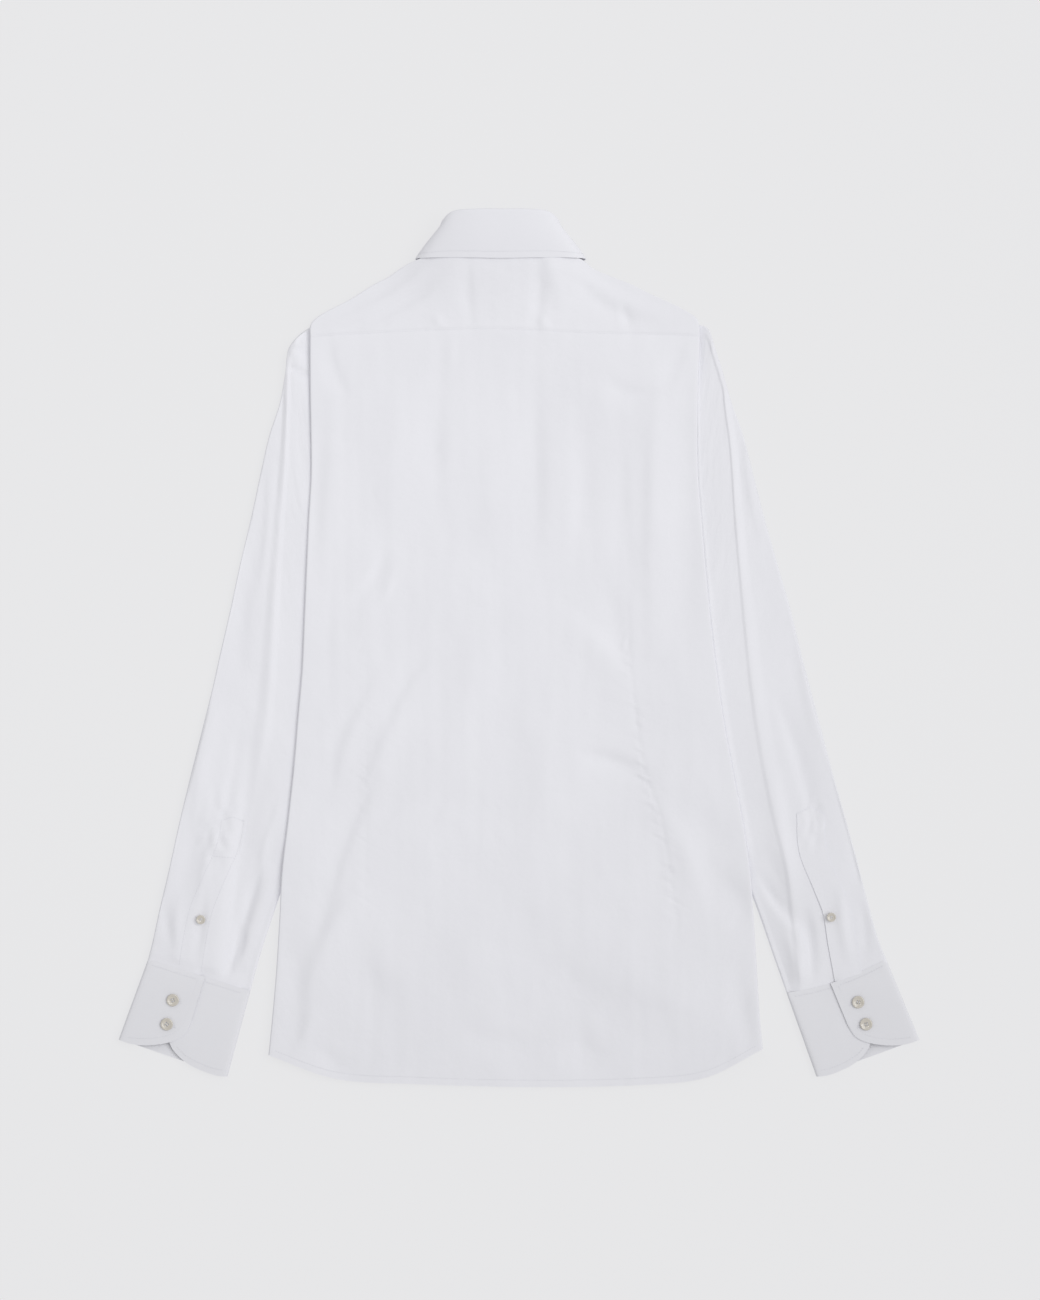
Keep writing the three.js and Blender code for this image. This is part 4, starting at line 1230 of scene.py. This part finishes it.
# %% Stitch helper
def stitches(name, paths, pitch=2.6, length=1.9, gauge=0.2, rise=0.16):
    """Beads of thread along paths of points in millimetres."""
    bm = bmesh.new()
    for path in paths:
        run = lengths_along(path, 0)
        total = run[-1] / MM
        for k in range(int(total / pitch)):
            ends = []
            for place in ((k + 0.5) * pitch - length / 2, (k + 0.5) * pitch + length / 2):
                i = clamp(bisect_right(run, place * MM) - 1, 0, len(path) - 2)
                w = (place * MM - run[i]) / (run[i + 1] - run[i])
                ends.append(path[i].lerp(path[i + 1], w))
            lie = (ends[1] - ends[0]).to_track_quat("X", "Z").to_matrix().to_4x4()
            size = Matrix.Diagonal((length / 2 * MM, gauge * MM, rise * MM, 1))
            place = Matrix.Translation((ends[0] + ends[1]) / 2 * MM) @ lie @ size
            bmesh.ops.create_uvsphere(bm, u_segments=6, v_segments=4, radius=1, matrix=place)
    print(f"{name}: {len(bm.faces)} faces")
    return finish_piece(name, bm, thread)


def on_body(points, lift=0.08):
    return [Vector((x, y, body_top(x, y) + lift)) for x, y in points]


def even(start, stop, count):
    return [lerp(start, stop, k / count) for k in range(count + 1)]


# %% Stitches of the yoke and the hem
yoke_line = on_body([(x, seam_y(x) + 1.7) for x in even(-189, 163, 180)])
hem_line = on_body([(x, hem_y(x) + 6.5) for x in even(-227, 222, 220)])
stitches("stitches_yoke", [yoke_line])
stitches("stitches_hem", [hem_line])

# %% Stitches of the collar
FALL_STITCH_AT = 1 - 6 / 42
fall_line = [fall_point(i, FALL_STITCH_AT, 0.1) for i in range(24, STEPS - 23)]
stitches("stitches_collar", [fall_line])

# %% Stitches of the cuffs
UPPER_END = [
    (0.5, 0.06), (0.5, 0.52), (0.482, 0.64), (0.43, 0.735), (0.34, 0.815), (0.23, 0.88),
    (0.12, 0.925), (0.05, 0.935),
]
LOWER_END = [
    (0.5, 0.86), (0.58, 0.915), (0.68, 0.945), (0.78, 0.96), (0.88, 0.96), (0.95, 0.945),
]
SEAM_EDGE = [(0.05, 0.06), (0.3, 0.06), (0.5, 0.06)]
LOWER_SEAM = [(0.58, 0.06), (0.75, 0.06), (0.94, 0.06)]


def cuff_path(cuff, marks, z):
    fine = [spline([Vector((*mark, 0)) for mark in marks], t) for t in even(0, 1, 60)]
    return [cuff_point(cuff, mark.x, mark.y, z) for mark in fine]


for name, cuff in (("left", CUFF_LEFT), ("right", CUFF_RIGHT)):
    paths = [cuff_path(cuff, UPPER_END, 9.2), cuff_path(cuff, LOWER_END, 7.5)]
    paths += [cuff_path(cuff, SEAM_EDGE, 9.1), cuff_path(cuff, LOWER_SEAM, 7.4)]
    stitches("stitches_cuff_" + name, paths)

# %% Buttonholes of the cuffs
for name, cuff, spots in (
    ("left", CUFF_LEFT, ((-321.8, -326), (-327.4, -348.3))),
    ("right", CUFF_RIGHT, ((315.3, -327.8), (322.7, -348.3))),
):
    across = Vector((cuff[1][0] - cuff[0][0], cuff[1][1] - cuff[0][1], 0)).normalized()
    paths = []
    for x, y in spots:
        for gap in (-0.8, 0.8):
            middle_spot = Vector((x, y + gap, 9.25)) + across * 1.5
            paths.append([middle_spot - across * 7.5, middle_spot + across * 7.5])
    stitches("buttonholes_cuff_" + name, paths, 0.6, 0.55, 0.75, 0.22)

# %% Stitches of the sleeve plackets
for name, line, side in (("left", PLACKET_LEFT, -1), ("right", PLACKET_RIGHT, 1)):
    paths = []
    for t in (0.09, 0.91):
        paths.append([placket_point(line, side, s, t, 0.08) for s in even(0.04, 0.98, 80)])
    for s in (0.05, 0.27):
        paths.append([placket_point(line, side, s, t, 0.08) for t in even(0.09, 0.91, 16)])
    stitches("stitches_placket_" + name, paths)

# %% [markdown]

# %% [markdown]
# ## Studio
# The shirt lies on a pale, plain light table, as catalogue pictures are taken: the
# table glows a little, so that no dark shadow is left round the shirt. Most light
# comes from all round. A soft window on the right gives the folds their form, and a
# weak lamp overhead fades outwards, so the lower half is slightly darker. The camera
# looks straight down.

# %% Table
table_mesh = bmesh.new()
bmesh.ops.create_grid(table_mesh, x_segments=1, y_segments=1, size=4)
bmesh.ops.translate(table_mesh, verts=table_mesh.verts, vec=(0, 0, -0.0003))
table_top = bpy.data.objects.new("table_top", bpy.data.meshes.new("table_top"))
table_mesh.to_mesh(table_top.data)
table_mesh.free()
bpy.context.scene.collection.objects.link(table_top)
paper = bpy.data.materials.new("pale_paper")
paper.use_nodes = True
paper_shader = paper.node_tree.nodes["Principled BSDF"]
paper_shader.inputs["Base Color"].default_value = (0.1, 0.1, 0.1, 1)
paper_shader.inputs["Emission Color"].default_value = (1, 1, 1.015, 1)
paper_shader.inputs["Emission Strength"].default_value = 0.705
paper_shader.inputs["Roughness"].default_value = 0.9
paper_shader.inputs["Specular IOR Level"].default_value = 0.1
table_top.data.materials.append(paper)

# %% Light
world = bpy.data.worlds.new("soft_room")
bpy.context.scene.world = world
world.use_nodes = True
world.node_tree.nodes["Background"].inputs["Color"].default_value = (1, 1, 1, 1)
world.node_tree.nodes["Background"].inputs["Strength"].default_value = 0.6


def add_lamp(name, kind, place, goal, energy):
    """A lamp that faces a goal on the shirt."""
    lamp = bpy.data.lights.new(name, kind)
    lamp.energy = energy
    holder = bpy.data.objects.new(name, lamp)
    holder.location = place
    holder.rotation_euler = (Vector(goal) - Vector(place)).to_track_quat("-Z", "Y").to_euler()
    bpy.context.scene.collection.objects.link(holder)
    return lamp


window = add_lamp("window", "SUN", (2.7, 0.8, 4.0), (0, 0, 0), 1.09)
window.angle = math.radians(40)
ceiling = add_lamp("ceiling", "SPOT", (-0.1, 0.3, 3.3), (-0.1, 0.3, 0), 52)
ceiling.spot_size = math.radians(31)
ceiling.spot_blend = 1
ceiling.shadow_soft_size = 0.3
bpy.context.scene.view_settings.view_transform = "Standard"

# %% Camera
lens = bpy.data.cameras.new("overhead")
lens.sensor_width = 36
lens.lens = 89.3
camera = bpy.data.objects.new("overhead", lens)
camera.location = (0.00093, -0.00047, 3.008)
bpy.context.scene.collection.objects.link(camera)
bpy.context.scene.camera = camera
